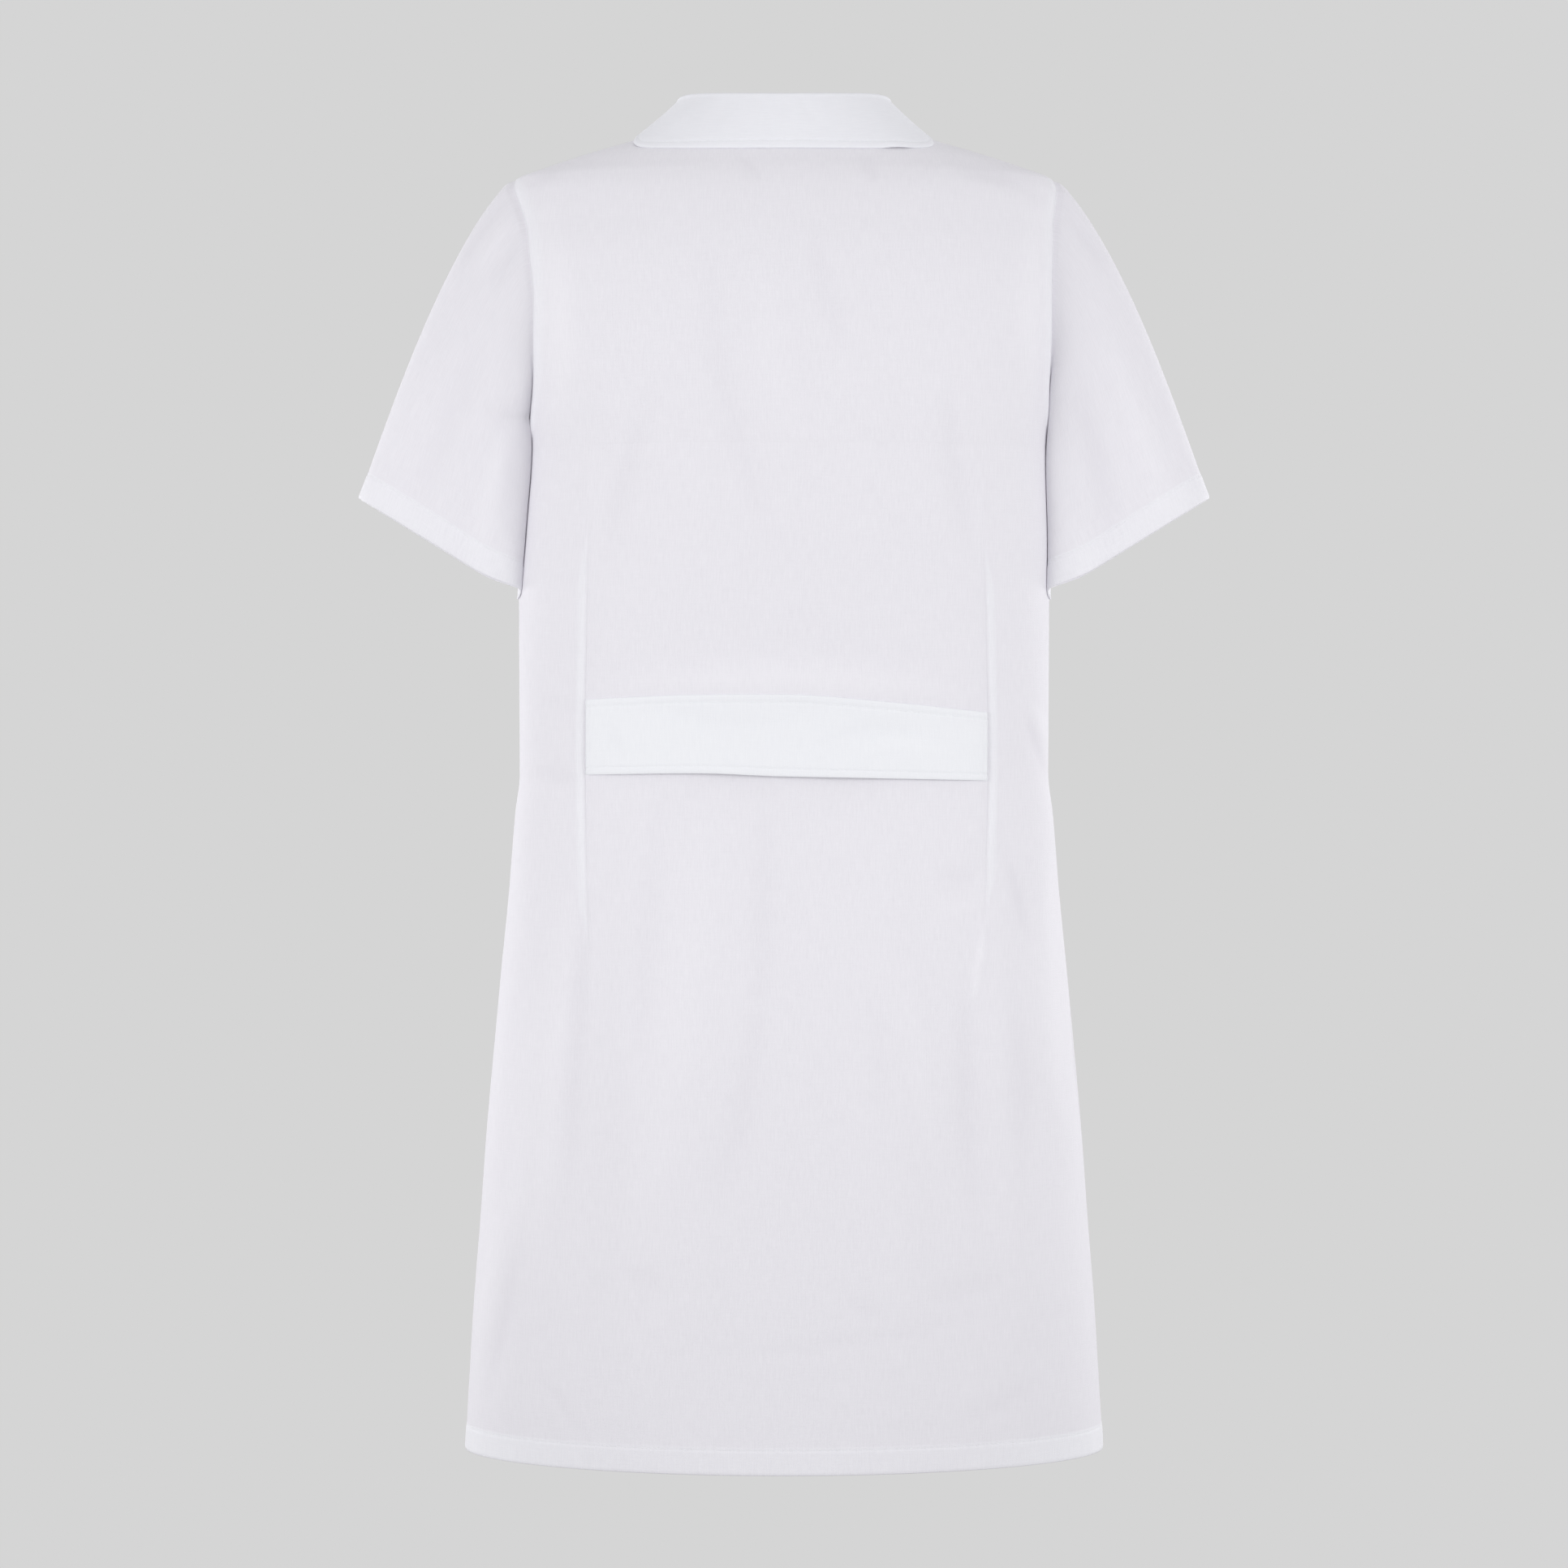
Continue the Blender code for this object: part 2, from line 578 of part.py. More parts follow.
def collar_section(row, side):
    """The collar's outer face at a station: up the stand's inside, over the fold, down the fall."""
    base, normal, rise, outward = collar_base(row.way, row.neck_z, side)
    piece = "back" if row.way < 1.0 else "front"
    edge, edge_normal = cloth_point(lateral_at_x(row.edge_x * side, row.edge_z), row.edge_z, piece)
    if row.way > 1.0:
        toward = edge - base
        toward = unit(toward - rise * float(toward @ rise))
        turn = ease((row.way - 1.0) * COLLAR_TURN)
        outward = unit(outward * (1.0 - turn) + toward * turn)
    lift = max(float(outward @ normal), 0.0) * DOUBLE_CLOTH * COLLAR_LIFT
    foot = base - outward * DOUBLE_CLOTH + normal * lift + rise * COLLAR_SEAT
    fold_in = foot + rise * row.stand
    fold_out = fold_in + outward * COLLAR_FOLD
    radius = COLLAR_FOLD / 2.0
    corner = outward * radius * FOLD_IN + rise * radius * FOLD_UP
    far_corner = -outward * radius * FOLD_IN + rise * radius * FOLD_UP
    top = fold_in + outward * radius + rise * radius
    section = [foot, (foot + fold_in) / 2.0, fold_in, fold_in + corner, top, fold_out + far_corner]
    fall_end = edge + edge_normal * row.off
    crown_way = unit(edge_normal + rise + outward)
    for step in FALL_STEPS:
        crown = row.crown * math.sin(math.pi * step)
        section.append(fold_out + (fall_end - fold_out) * step + crown_way * crown)
    return section


def strip_normals(rows):
    """The direction square to a strip of points, on the side that the first section's bend faces away."""
    points = np.array(rows)
    along = np.gradient(points, axis=0)
    across = np.gradient(points, axis=1)
    normals = np.cross(along, across)
    return normals / np.linalg.norm(normals, axis=2, keepdims=True)


def make_collar(material, pieces):
    """The collar: a stand, and a fall that folds over it, from centre front to centre front."""
    left = [collar_section(row, 1) for row in COLLAR]
    right = [collar_section(row, -1) for row in COLLAR[1:]]
    rows = np.array(list(reversed(right)) + left)
    normals = strip_normals(rows)
    middle = len(right)
    if normals[middle][-1][1] < 0.0:
        normals = -normals
    inner = rows - normals * DOUBLE_CLOTH
    return link_object("collar", wall_mesh("collar", rows, inner, False), material, pieces)


def belt_curve(column):
    """The smooth course of one of the belt's edges over x."""
    return make_curve([(row.x, getattr(row, column)) for row in BELT_EDGES])


def make_belt(material, pieces):
    """The half belt across the back waist, sewn into the darts and slack along its lower edge."""
    top, bottom = belt_curve("z_top"), belt_curve("z_bottom")
    first, last = BELT_EDGES[0].x, BELT_EDGES[-1].x
    outer, inner = [], []
    for down in BELT_ROWS:
        outer_row, inner_row = [], []
        for step in range(BELT_STEPS + 1):
            share = step / BELT_STEPS
            x = first + (last - first) * share
            z = top(x) + (bottom(x) - top(x)) * down
            point, normal = cloth_point(lateral_at_x(x, z), z, "back")
            slack = BELT_STAND_OFF * down * math.sin(math.pi * share)
            near_dart = -dart_relief("back", x, z)
            seat = point + normal * (LAYER_GAP + SEAM_GAP + slack + near_dart)
            inner_row.append(seat)
            outer_row.append(seat + normal * DOUBLE_CLOTH)
        outer.append(outer_row)
        inner.append(inner_row)
    return link_object("half_belt", wall_mesh("half_belt", outer, inner, False), material, pieces)


def make_button(number, material, pieces):
    """One flat round button on the front's centre line."""
    z = BUTTON_TOP_Z - BUTTON_PITCH * (number - 1)
    seat, normal = cloth_point(0.0, z, "front", -1)
    made = bmesh.new()
    bmesh.ops.create_cone(
        made,
        cap_ends=True,
        segments=BUTTON_SIDES,
        radius1=BUTTON_RADIUS,
        radius2=BUTTON_RADIUS,
        depth=BUTTON_THICK,
    )
    mesh = bpy.data.meshes.new(f"button_{number}")
    made.to_mesh(mesh)
    made.free()
    button = link_object(f"button_{number}", mesh, material, pieces)
    bevel = button.modifiers.new("rounded rim", "BEVEL")
    bevel.width = BUTTON_BEVEL
    bevel.segments = 1
    bevel.limit_method = "ANGLE"
    bevel.angle_limit = SHARP_ANGLE
    tilt = math.atan2(normal[2], -normal[1])
    button.rotation_euler = (math.pi / 2.0 - tilt, 0.0, 0.0)
    button.location = seat + normal * (LAYER_GAP + BUTTON_THICK / 2.0)
    return button


def main():
    pieces = start_empty()
    cloth = make_material("white_cloth", (0.80, 0.80, 0.84), 0.85)
    double_cloth = make_material("white_double_cloth", (0.84, 0.85, 0.88), 0.85)
    plastic = make_material("white_plastic", (0.82, 0.82, 0.80), 0.35)
    make_back(cloth, pieces)
    for side in (1, -1):
        make_front(side, cloth, pieces)
        make_sleeve(side, cloth, pieces)
    make_collar(double_cloth, pieces)
    make_belt(double_cloth, pieces)
    for number in range(1, BUTTON_COUNT + 1):
        make_button(number, plastic, pieces)


main()
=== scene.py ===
"""The medical tunic's looks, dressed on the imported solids: thin cloth shells on the same hollow form,
with their creases, hems, darts, stitches and buttons, in a plain studio.

Metres, +Z up; tables that say so are in millimetres. The wearer's back faces +Y, the wearer's left is +X.
"""

import math

import bmesh
import bpy
import numpy as np
from mathutils import Matrix, Vector


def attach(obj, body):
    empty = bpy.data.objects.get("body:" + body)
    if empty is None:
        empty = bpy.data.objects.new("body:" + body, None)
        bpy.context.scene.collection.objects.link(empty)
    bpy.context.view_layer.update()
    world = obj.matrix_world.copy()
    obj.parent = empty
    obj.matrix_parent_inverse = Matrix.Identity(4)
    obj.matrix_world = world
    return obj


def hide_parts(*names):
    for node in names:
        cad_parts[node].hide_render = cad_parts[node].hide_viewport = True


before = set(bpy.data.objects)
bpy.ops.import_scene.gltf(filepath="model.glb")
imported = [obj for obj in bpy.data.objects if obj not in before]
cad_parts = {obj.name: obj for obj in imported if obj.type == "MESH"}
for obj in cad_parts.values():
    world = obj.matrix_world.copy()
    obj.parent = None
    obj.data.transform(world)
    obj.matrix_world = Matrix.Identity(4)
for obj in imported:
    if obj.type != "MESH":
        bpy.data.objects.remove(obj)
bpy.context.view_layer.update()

GRID = 1.0

CLOTH = 0.0005
TURN_UP_CLOTH = 0.0008
HEM_Z = -0.988
HEM_BAND = 0.0205
CUFF_BAND = 0.0215
NECK_Z = 0.011
FRONT_NECK_Z = 0.0109
SHOULDER_Z = -0.0285
UNDERARM_Z = -0.235
ARMHOLE_MID = (SHOULDER_Z + UNDERARM_Z) / 2
ARMHOLE_HALF = (SHOULDER_Z - UNDERARM_Z) / 2
ARMHOLE_POWERS = (0.5, 0.7)
ARMHOLE_DEPTHS = {("back", 1): 0.060, ("back", -1): 0.044, ("front", 1): 0.060, ("front", -1): 0.062}

# On the right of the skirt the side seam swings to the back: how far, at which z, and over what half height.
SEAM_SWING = 0.020
SEAM_SWING_Z = -0.700
SEAM_SWING_HALF = 0.125

# The form's sections: z, half width, depth behind, depth in front, squareness, sideways shift.
SECTIONS = (
    (0.012, 0.0745, 0.0575, 0.0560, 1.90, 0),
    (0.000, 0.1160, 0.0650, 0.0620, 1.80, 0),
    (-0.010, 0.1515, 0.0700, 0.0670, 1.75, 0),
    (-0.020, 0.1815, 0.0765, 0.0720, 1.75, 0),
    (-0.0285, 0.2030, 0.0825, 0.0770, 1.80, 0),
    (-0.040, 0.2095, 0.0890, 0.0830, 1.90, 0),
    (-0.060, 0.2120, 0.0975, 0.0920, 2.00, 0),
    (-0.090, 0.2120, 0.1070, 0.1040, 2.20, 0),
    (-0.120, 0.2105, 0.1125, 0.1140, 2.30, -0.0010),
    (-0.160, 0.2065, 0.1155, 0.1240, 2.40, -0.0020),
    (-0.200, 0.2010, 0.1155, 0.1290, 2.40, -0.0027),
    (-0.235, 0.1980, 0.1135, 0.1290, 2.30, -0.0033),
    (-0.300, 0.2000, 0.1070, 0.1220, 2.25, -0.0020),
    (-0.350, 0.2006, 0.1000, 0.1130, 2.25, 0),
    (-0.420, 0.2003, 0.0910, 0.1020, 2.30, 0),
    (-0.479, 0.2000, 0.0870, 0.0980, 2.35, 0),
    (-0.507, 0.2033, 0.0910, 0.1010, 2.30, 0),
    (-0.568, 0.2082, 0.1040, 0.1080, 2.25, 0),
    (-0.630, 0.2143, 0.1170, 0.1150, 2.20, 0),
    (-0.691, 0.2199, 0.1270, 0.1200, 2.20, 0),
    (-0.753, 0.2254, 0.1340, 0.1250, 2.15, 0),
    (-0.814, 0.2297, 0.1390, 0.1300, 2.15, 0),
    (-0.876, 0.2346, 0.1435, 0.1350, 2.10, 0),
    (-0.937, 0.2383, 0.1470, 0.1390, 2.05, 0),
    (-0.988, 0.2413, 0.1500, 0.1420, 1.94, 0),
)

# Fish-eye darts: x at both ends, x at the waist, z of the top and of the low end.
DARTS = {
    "back": ((0.1443, 0.1485, -0.284, -0.614), (-0.1480, -0.1525, -0.296, -0.590)),
    "front": ((0.1050, 0.1080, -0.260, -0.590), (-0.1050, -0.1080, -0.260, -0.590)),
}
WAIST_Z = -0.465
# The pull at a dart, its seam line, the fold pressed to its outer side, and the dimple past its tips.
DART_DEEP = 0.0014
DART_HALF = 0.009
DART_SEAM_SINK = 0.0004
DART_SEAM_WIDTH = 0.0008
DART_FOLD_RISE = 0.0006
DART_FOLD_ENDS = 0.0015
DART_FOLD_SWELL = 0.0065
DART_TIP_RISE = 0.0007

# The solids' own large folds, in millimetres: x and z of both ends, half width, rise.
FOLDS = {
    "back": (
        (100, -490, 118, -960, 34, 3.2),
        (18, -495, 52, -900, 30, 2.4),
        (-70, -520, -85, -960, 36, 2.8),
        (-158, -540, -180, -900, 26, 2.4),
        (175, -640, 205, -970, 24, 2.2),
        (52, -110, 26, -330, 26, 1.6),
        (-48, -120, -75, -350, 30, 1.5),
    ),
    "front": (
        (75, -500, 95, -960, 34, 3.0),
        (150, -560, 176, -950, 28, 2.6),
        (-70, -510, -88, -960, 34, 3.0),
        (-146, -570, -172, -950, 28, 2.6),
    ),
}

# Finer creases, in millimetres: x and z of the start, middle and end, half width, rise (a trough below 0).
CREASES = {
    "back": (
        (60, -80, 45, -190, 5, -320, 14, -1.6),
        (-20, -65, -30, -120, -45, -175, 12, -1.2),
        (95, -185, 115, -245, 135, -325, 12, -1.4),
        (-120, -185, -130, -265, -140, -325, 12, -1.4),
        (20, -90, 10, -160, -10, -245, 18, 1.2),
        (180, -45, 170, -120, 170, -230, 17, 3),
        (-190, -45, -185, -110, -185, -200, 15, 2.4),
        (37, -15, 26, -27, 16, -41, 7, -1),
        (-58, -15, -63, -26, -70, -40, 7, -1),
        (-125, -25, -155, -30, -190, -45, 10, -1.2),
        (193, -39, 179, -30, 162, -24, 7, -0.8),
        (140, -415, 5, -410, -145, -420, 18, 3),
        (-180, -434, -189, -458, -197, -479, 6, -1.5),
        (-185, -424, -193, -440, -198, -455, 5, 0.9),
        (186, -473, 170, -479, 151, -483, 8, -1),
        (183, -423, 167, -427, 151, -429, 7, -0.7),
        (15, -480, 15, -560, 20, -690, 13, -1.6),
        (20, -650, 30, -725, 60, -810, 15, -1.9),
        (90, -485, 100, -565, 105, -700, 14, -1.5),
        (55, -495, 70, -615, 100, -825, 22, 1.8),
        (145, -555, 155, -675, 160, -795, 11, -1.4),
        (165, -560, 175, -705, 200, -865, 17, 2.1),
        (195, -801, 205, -874, 223, -951, 7.5, -1.7),
        (210, -795, 220, -870, 230, -925, 9, 1),
        (-135, -620, -135, -705, -140, -805, 12, -1.5),
        (-149, -590, -144, -620, -139, -656, 5, 0.8),
        (-164, -534, -173, -567, -179, -606, 6, -1.2),
        (-170, -640, -175, -705, -175, -770, 10, -1.4),
        (-195, -530, -195, -640, -205, -750, 12, 1.6),
        (-110, -550, -130, -555, -150, -545, 9, -1.2),
        (-110, -581, -131, -576, -150, -571, 6, 0.6),
        (-65, -635, -70, -700, -75, -745, 12, -0.9),
        (-90, -615, -100, -685, -110, -765, 14, 1),
        (120, -845, 105, -850, 85, -855, 14, -1),
        (-47, -860, -58, -869, -76, -879, 8, -0.8),
        (-105, -860, -135, -860, -165, -850, 14, -1),
        (68, -900, -50, -891, -176, -865, 5, -0.4),
        (186, -913, 168, -935, 149, -961, 5, -0.5),
        (-194, -920, -163, -938, -127, -954, 6, -0.6),
    ),
    "front": (
        (60, -120, 75, -180, 100, -260, 12, -1.2),
        (130, -90, 120, -170, 115, -250, 14, 1.2),
        (-50, -150, -70, -210, -95, -270, 12, -1.2),
        (-130, -85, -125, -160, -120, -235, 14, 1.2),
        (170, -250, 150, -300, 120, -345, 9, -0.9),
        (-170, -255, -150, -300, -120, -350, 9, -1),
        (30, -300, 35, -380, 30, -450, 12, -0.9),
        (-35, -320, -40, -390, -35, -455, 12, -0.9),
        (45, -500, 50, -640, 60, -820, 13, -1.6),
        (120, -600, 125, -720, 140, -860, 13, -1.6),
        (-40, -510, -45, -660, -50, -840, 13, -1.6),
        (-115, -600, -125, -730, -140, -880, 13, -1.6),
        (150, -430, 172, -446, 192, -470, 7, -1.2),
        (-150, -434, -172, -452, -192, -476, 7, -1.2),
        (195, -700, 205, -800, 215, -900, 10, -1.4),
        (-190, -690, -205, -800, -215, -910, 10, -1.4),
    ),
    "collar": (
        (-12, 26, -15, 20, -22, 8, 4, -0.8),
        (-30, 26, -30, 18, -26, 6, 5, 0.6),
        (40, 26, 44, 18, 52, 6, 6, -0.6),
        (-85, 14, -94, 4, -104, -6, 4, -0.7),
        (70, 20, 78, 10, 84, 0, 6, 0.6),
    ),
    "half_belt": (
        (100, -428, 50, -440, -10, -438, 10, -0.8),
        (-20, -455, -70, -445, -110, -452, 9, -0.7),
        (130, -440, 125, -455, 118, -470, 8, -0.6),
        (-50, -462, -90, -458, -130, -466, 8, 0.6),
    ),
}

# Painted shading: how much of a crease's and a large fold's steepness is painted into the cloth's colour,
# darker in troughs and lighter on ridges, the painted shade along the body's two sides, and the most that all
# of them make together.
CREASE_PAINTED_SHADE = 14
FOLD_PAINTED_SHADE = 2
SIDE_PAINTED_SHADE = -1.6
MOST_PAINTED_SHADE = 3

# How far the cloth rolls in at an edge, and the step, stitch line and pucker of a turned-up band.
EDGE_ROLL = 0.0006
BAND_STEP = 0.00045
STITCH_INSET = 0.0022
PUCKER_INSET = 0.003
HEM_PUCKER = 0.00030
CUFF_PUCKER = 0.00022
# How wide the groove is that a line of stitches pulls in.
STITCH_GROOVE = 0.0009

# How much whiter the cloth looks, 0 to 1, where more of it lies behind. The hem has two numbers:
# at the middle, and how much more towards the sides, which is painted light rather than more cloth.
HEM_LAYERS_AND_SIDE_LIGHT = (0.30, 0.50)
DART_LAYERS = 0.60
ARMHOLE_LAYERS = 0.55
BUTTON_STAND_LAYERS = 0.60
CUFF_LAYERS = 0.52
# How far that cloth reaches from a dart's seam, from an armhole's edge and from a front's straight edge.
DART_FOLD_WIDE = 0.0080
ARMHOLE_SEAM_WIDE = 0.0150
BUTTON_STAND_WIDE = 0.0335

# The fronts: how far they run past the centre, how the lower one dips under the upper one,
# the neckline, how far in from the straight edge its two lines of stitches run, the depth of the one
# that shows, and how far the edge rolls in.
LAP = 0.018
LAP_TUCK = 0.0022
LAP_FLAT = 0.026
LAP_BLEND = 0.055
NECK_SIDE_X = 0.0745
NECK_CURVE = 0.87
FRONT_STITCHES = (0.0045, 0.0330)
FRONT_STITCH_SINK = 0.00035
FRONT_ROLL = 0.0005

# The armhole seam on the body's side of it: its swell, and the least x of what counts as the side.
ARMHOLE_SWELL = 0.0011
SIDE_X = 0.05

# The sleeves: x and z of the cuff's outer and inner end, its depth, and how far above it the rows are level
# with it; how the cap rises; how the cloth lies against the body; how its seam is tucked in.
CUFF_OUTER = (0.3232, -0.2690)
CUFF_INNER = (0.1980, -0.3462)
CUFF_Y = -0.016
CUFF_HALF_DEPTH = 0.047
CUFF_LEVEL = 0.034
CAP_RISE = 0.0140
CAP_RISE_PEAK = 0.333
CAP_RISE_POWERS = (0.6, 1.2)
CAP_GATHERS = 0.00045
SLEEVE_FULLNESS = 0.004
SLEEVE_SQUARE = 0.62
SLEEVE_TUCKED = 0.36
SLEEVE_PRESS = (0.0090, 0.0120)
SLEEVE_REST = 0.0003
SLEEVE_CLING = 0.0060
SLEEVE_CLING_Z = -0.140
SLEEVE_LEAVES = 0.62
SLEEVE_CLING_BLEND = 0.05
SLEEVE_CLING_REACH = 0.012
SLEEVE_BACKWARD = 0.006
SEAM_UNDER = 0.0006
SEAM_TUCK = 0.0030

# The sleeves' painted shading: the rise of a fold that changes it by 1, the most that folds make, the painted
# shade the whole sleeve has, and the painted light added under the arm.
SLEEVE_PAINTED_SHADE_RISE = 0.0013
SLEEVE_MOST_PAINTED_SHADE = 2.2
SLEEVE_PAINTED_SHADE = -1.2
UNDERARM_PAINTED_LIGHT = 2.8

# The sleeves' folds, by side: facing, share round from the top line, half width of it,
# first and last share along, rise.
SLEEVE_FOLDS = {
    1: (
        (1, 0.37, 0.10, 0.30, 0.98, -0.0022),
        (1, 0.64, 0.10, 0.16, 0.95, 0.0024),
        (1, 0.20, 0.08, 0.45, 1.00, 0.0012),
        (1, 0.84, 0.09, 0.02, 0.90, -0.0012),
        (1, 0.10, 0.05, 0.00, 0.26, -0.0026),
        (1, 0.19, 0.05, 0.00, 0.22, 0.0020),
        (1, 0.28, 0.05, 0.00, 0.20, -0.0018),
        (-1, 0.30, 0.10, 0.25, 0.95, -0.0018),
        (-1, 0.60, 0.10, 0.10, 0.90, 0.0020),
    ),
    -1: (
        (1, 0.55, 0.09, 0.28, 0.96, -0.0022),
        (1, 0.32, 0.09, 0.30, 0.98, 0.0018),
        (1, 0.17, 0.07, 0.35, 1.00, -0.0010),
        (1, 0.76, 0.10, 0.03, 0.96, 0.0024),
        (1, 0.90, 0.07, 0.02, 0.90, -0.0008),
        (1, 0.14, 0.06, 0.00, 0.24, -0.0018),
        (-1, 0.34, 0.10, 0.20, 0.95, -0.0018),
        (-1, 0.62, 0.10, 0.10, 0.90, 0.0020),
    ),
}

# The collar's stations: way from centre back (0) by the side neck (1) to the front (2), neckline z, stand,
# edge x and z, how far the edge stands off, crown.
COLLAR = (
    (0.00, 0.0110, 0.0141, 0.0000, -0.0145, 0.0052, 0.0022),
    (0.20, 0.0110, 0.0147, 0.0300, -0.0143, 0.0052, 0.0020),
    (0.40, 0.0110, 0.0160, 0.0580, -0.0137, 0.0052, 0.0014),
    (0.60, 0.0110, 0.0178, 0.0830, -0.0125, 0.0052, 0.0008),
    (0.75, 0.0110, 0.0186, 0.1000, -0.0111, 0.0050, 0.0002),
    (0.85, 0.0110, 0.0186, 0.1095, -0.0092, 0.0050, -0.0003),
    (0.92, 0.0110, 0.0184, 0.1125, -0.0060, 0.0050, -0.0006),
    (0.96, 0.0110, 0.0183, 0.1118, -0.0018, 0.0050, -0.0006),
    (1.00, 0.0110, 0.0182, 0.1096, 0.0022, 0.0050, -0.0004),
    (1.07, 0.0108, 0.0180, 0.1110, -0.0020, 0.0050, -0.0002),
    (1.15, 0.0100, 0.0176, 0.1130, -0.0080, 0.0050, 0.0002),
    (1.22, 0.0080, 0.0172, 0.1147, -0.0140, 0.0052, 0.0010),
    (1.30, 0.0045, 0.0164, 0.1148, -0.0230, 0.0052, 0.0016),
    (1.38, 0.0000, 0.0154, 0.1140, -0.0350, 0.0052, 0.0022),
    (1.48, -0.0100, 0.0140, 0.1105, -0.0530, 0.0052, 0.0024),
    (1.55, -0.0200, 0.0127, 0.1066, -0.0668, 0.0052, 0.0024),
    (1.62, -0.0311, 0.0114, 0.1018, -0.0810, 0.0052, 0.0024),
    (1.67, -0.0387, 0.0106, 0.0985, -0.0892, 0.0052, 0.0024),
    (1.74, -0.0510, 0.0094, 0.0933, -0.1028, 0.0052, 0.0022),
    (1.87, -0.0774, 0.0071, 0.0822, -0.1272, 0.0052, 0.0020),
    (2.00, -0.1088, 0.0050, 0.0700, -0.1500, 0.0052, 0.0018),
)
COLLAR_END_X = 0.0015
COLLAR_FOLD = 0.0052
COLLAR_TURN = 1.4
COLLAR_CLOTH = 0.0010
COLLAR_INSIDE = 0.0019
COLLAR_DOWN = 0.0039
COLLAR_STITCH = 0.0060
COLLAR_STITCH_SINK = 0.0004
# Where the fall stands off a little more: way, below 0 on the right, half width, height.
COLLAR_OPENS = ((0.97, 0.22, 1), (-0.62, 0.14, 0.8))
COLLAR_OPENS_BY = 0.0014

# The half belt's edges: x, z of the top and bottom edge.
BELT_EDGES = (
    (-0.1510, -0.4328, -0.4836),
    (-0.0800, -0.4255, -0.4822),
    (0.0030, -0.4197, -0.4805),
    (0.0640, -0.4200, -0.4782),
    (0.1470, -0.4232, -0.4792),
)
BELT_ENDS = (0.1480, -0.1520)
BELT_HEIGHT = 0.057
BELT_CLOTH = 0.0011
BELT_SEAT = 0.0003
BELT_STAND_OFF = 0.0030
BELT_WANDER = 0.0006
BELT_END_DIP = 0.0014
BELT_STITCH = 0.0055
BELT_STITCH_SINK = 0.0005

# The buttons, their four holes, and the buttonholes.
BUTTON_COUNT = 8
BUTTON_TOP_Z = -0.145
BUTTON_PITCH = 0.094
BUTTON_THICK = 0.0028
BUTTON_GAP = 0.0006
BUTTON_HOLE_PLACE = 0.00135
BUTTON_HOLE_RADIUS = 0.00075
BUTTON_THREAD_RADIUS = 0.00030

# A button's section: distance from its middle, and height.
BUTTON_PROFILE = (
    (0, 0.0004), (0.0038, 0.0004), (0.0050, 0.0006), (0.0058, 0.0013), (0.0066, 0.0014), (0.0074, 0.0012),
    (0.0079, 0.0006), (0.0080, 0), (0.0078, -0.0007), (0.0070, -0.0012), (0, -0.0014),
)
BUTTONHOLE_HALF_LENGTH = 0.0095
BUTTONHOLE_HALF_WIDTH = 0.0011
BUTTONHOLE_PITCH = 0.00045
BUTTONHOLE_THREAD_HALF = 0.0010
BUTTONHOLE_THREAD_RADIUS = 0.00018

# The machine stitches.
STITCH_PITCH = 0.0034
STITCH_LENGTH = 0.0026
STITCH_RADIUS = 0.00019
# A stitch's rings: place along it, share of the radius, rise.
STITCH_RINGS = ((-0.5, 0.35, -0.00015), (-0.25, 1, 0), (0.25, 1, 0), (0.5, 0.35, -0.00015))

# The weave: the pitch of its threads, and how strongly each part of it shows in the colour; last, how
# strongly the painted shading shows.
THREAD_PITCH = 0.00062
WARP_TONE = 1.30
WEFT_TONE = 0.45
CLOUD_TONE = 0.22
WEAVE_TONE = 0.06
# How strongly the painted shade and painted light of creases and folds show in the colour.
PAINTED_SHADING_STRENGTH = 0.17
# What cloth behind does to the colour of thin white cloth; the same whitening is also painted light at the
# hem's sides.
BACKED_AND_LIT = (1.058, 1.078, 1.066)

# The soft lamps round the tunic: name, place, power.
LAMPS = (
    ("back_left", (1.24, 1.04, -0.30), 8.1),
    ("back_right", (-1.24, 1.04, -0.30), 7.8),
    ("front_left", (1.12, -1.05, -0.33), 7.7),
    ("front_right", (-1.12, -1.05, -0.33), 7.5),
    ("top", (0.00, 0.20, 1.15), 1.2),
)
LAMP_SIZE = 0.8
LAMP_AIM = (0, 0, -0.33)
STUDIO_GREY = (0.6654, 0.6654, 0.6654, 1)
FLOOR_RADIUS = 14
FLOOR_Z = -1.42
CAMERA_PLACE = (0, 3.5, -0.486)
CAMERA_LENS = 106.06

FACING = {"back": 1, "front": -1}
OTHER = {"back": "front", "front": "back"}
WORD = {1: "left", -1: "right"}


def ease(value):
    """A smooth step from 0 to 1."""
    held = np.clip(value, 0, 1)
    return held * held * (3 - 2 * held)


def hump(value):
    """1 in the middle, falling smoothly to 0 at -1 and 1."""
    return ease(1 - np.abs(value))


def bell(distance, width):
    """A narrow rounded peak."""
    return np.exp(-((distance / width) ** 2))


def unit(vectors):
    """The vectors at length 1."""
    return vectors / np.maximum(np.linalg.norm(vectors, axis=-1, keepdims=True), 1e-12)


def square_to(directions, axes):
    """What is left of directions at right angles to others, at length 1."""
    return unit(directions - axes * (directions * axes).sum(axis=-1, keepdims=True))


def metres(rows):
    """A table of millimetres in metres."""
    return np.array(rows) / 1000


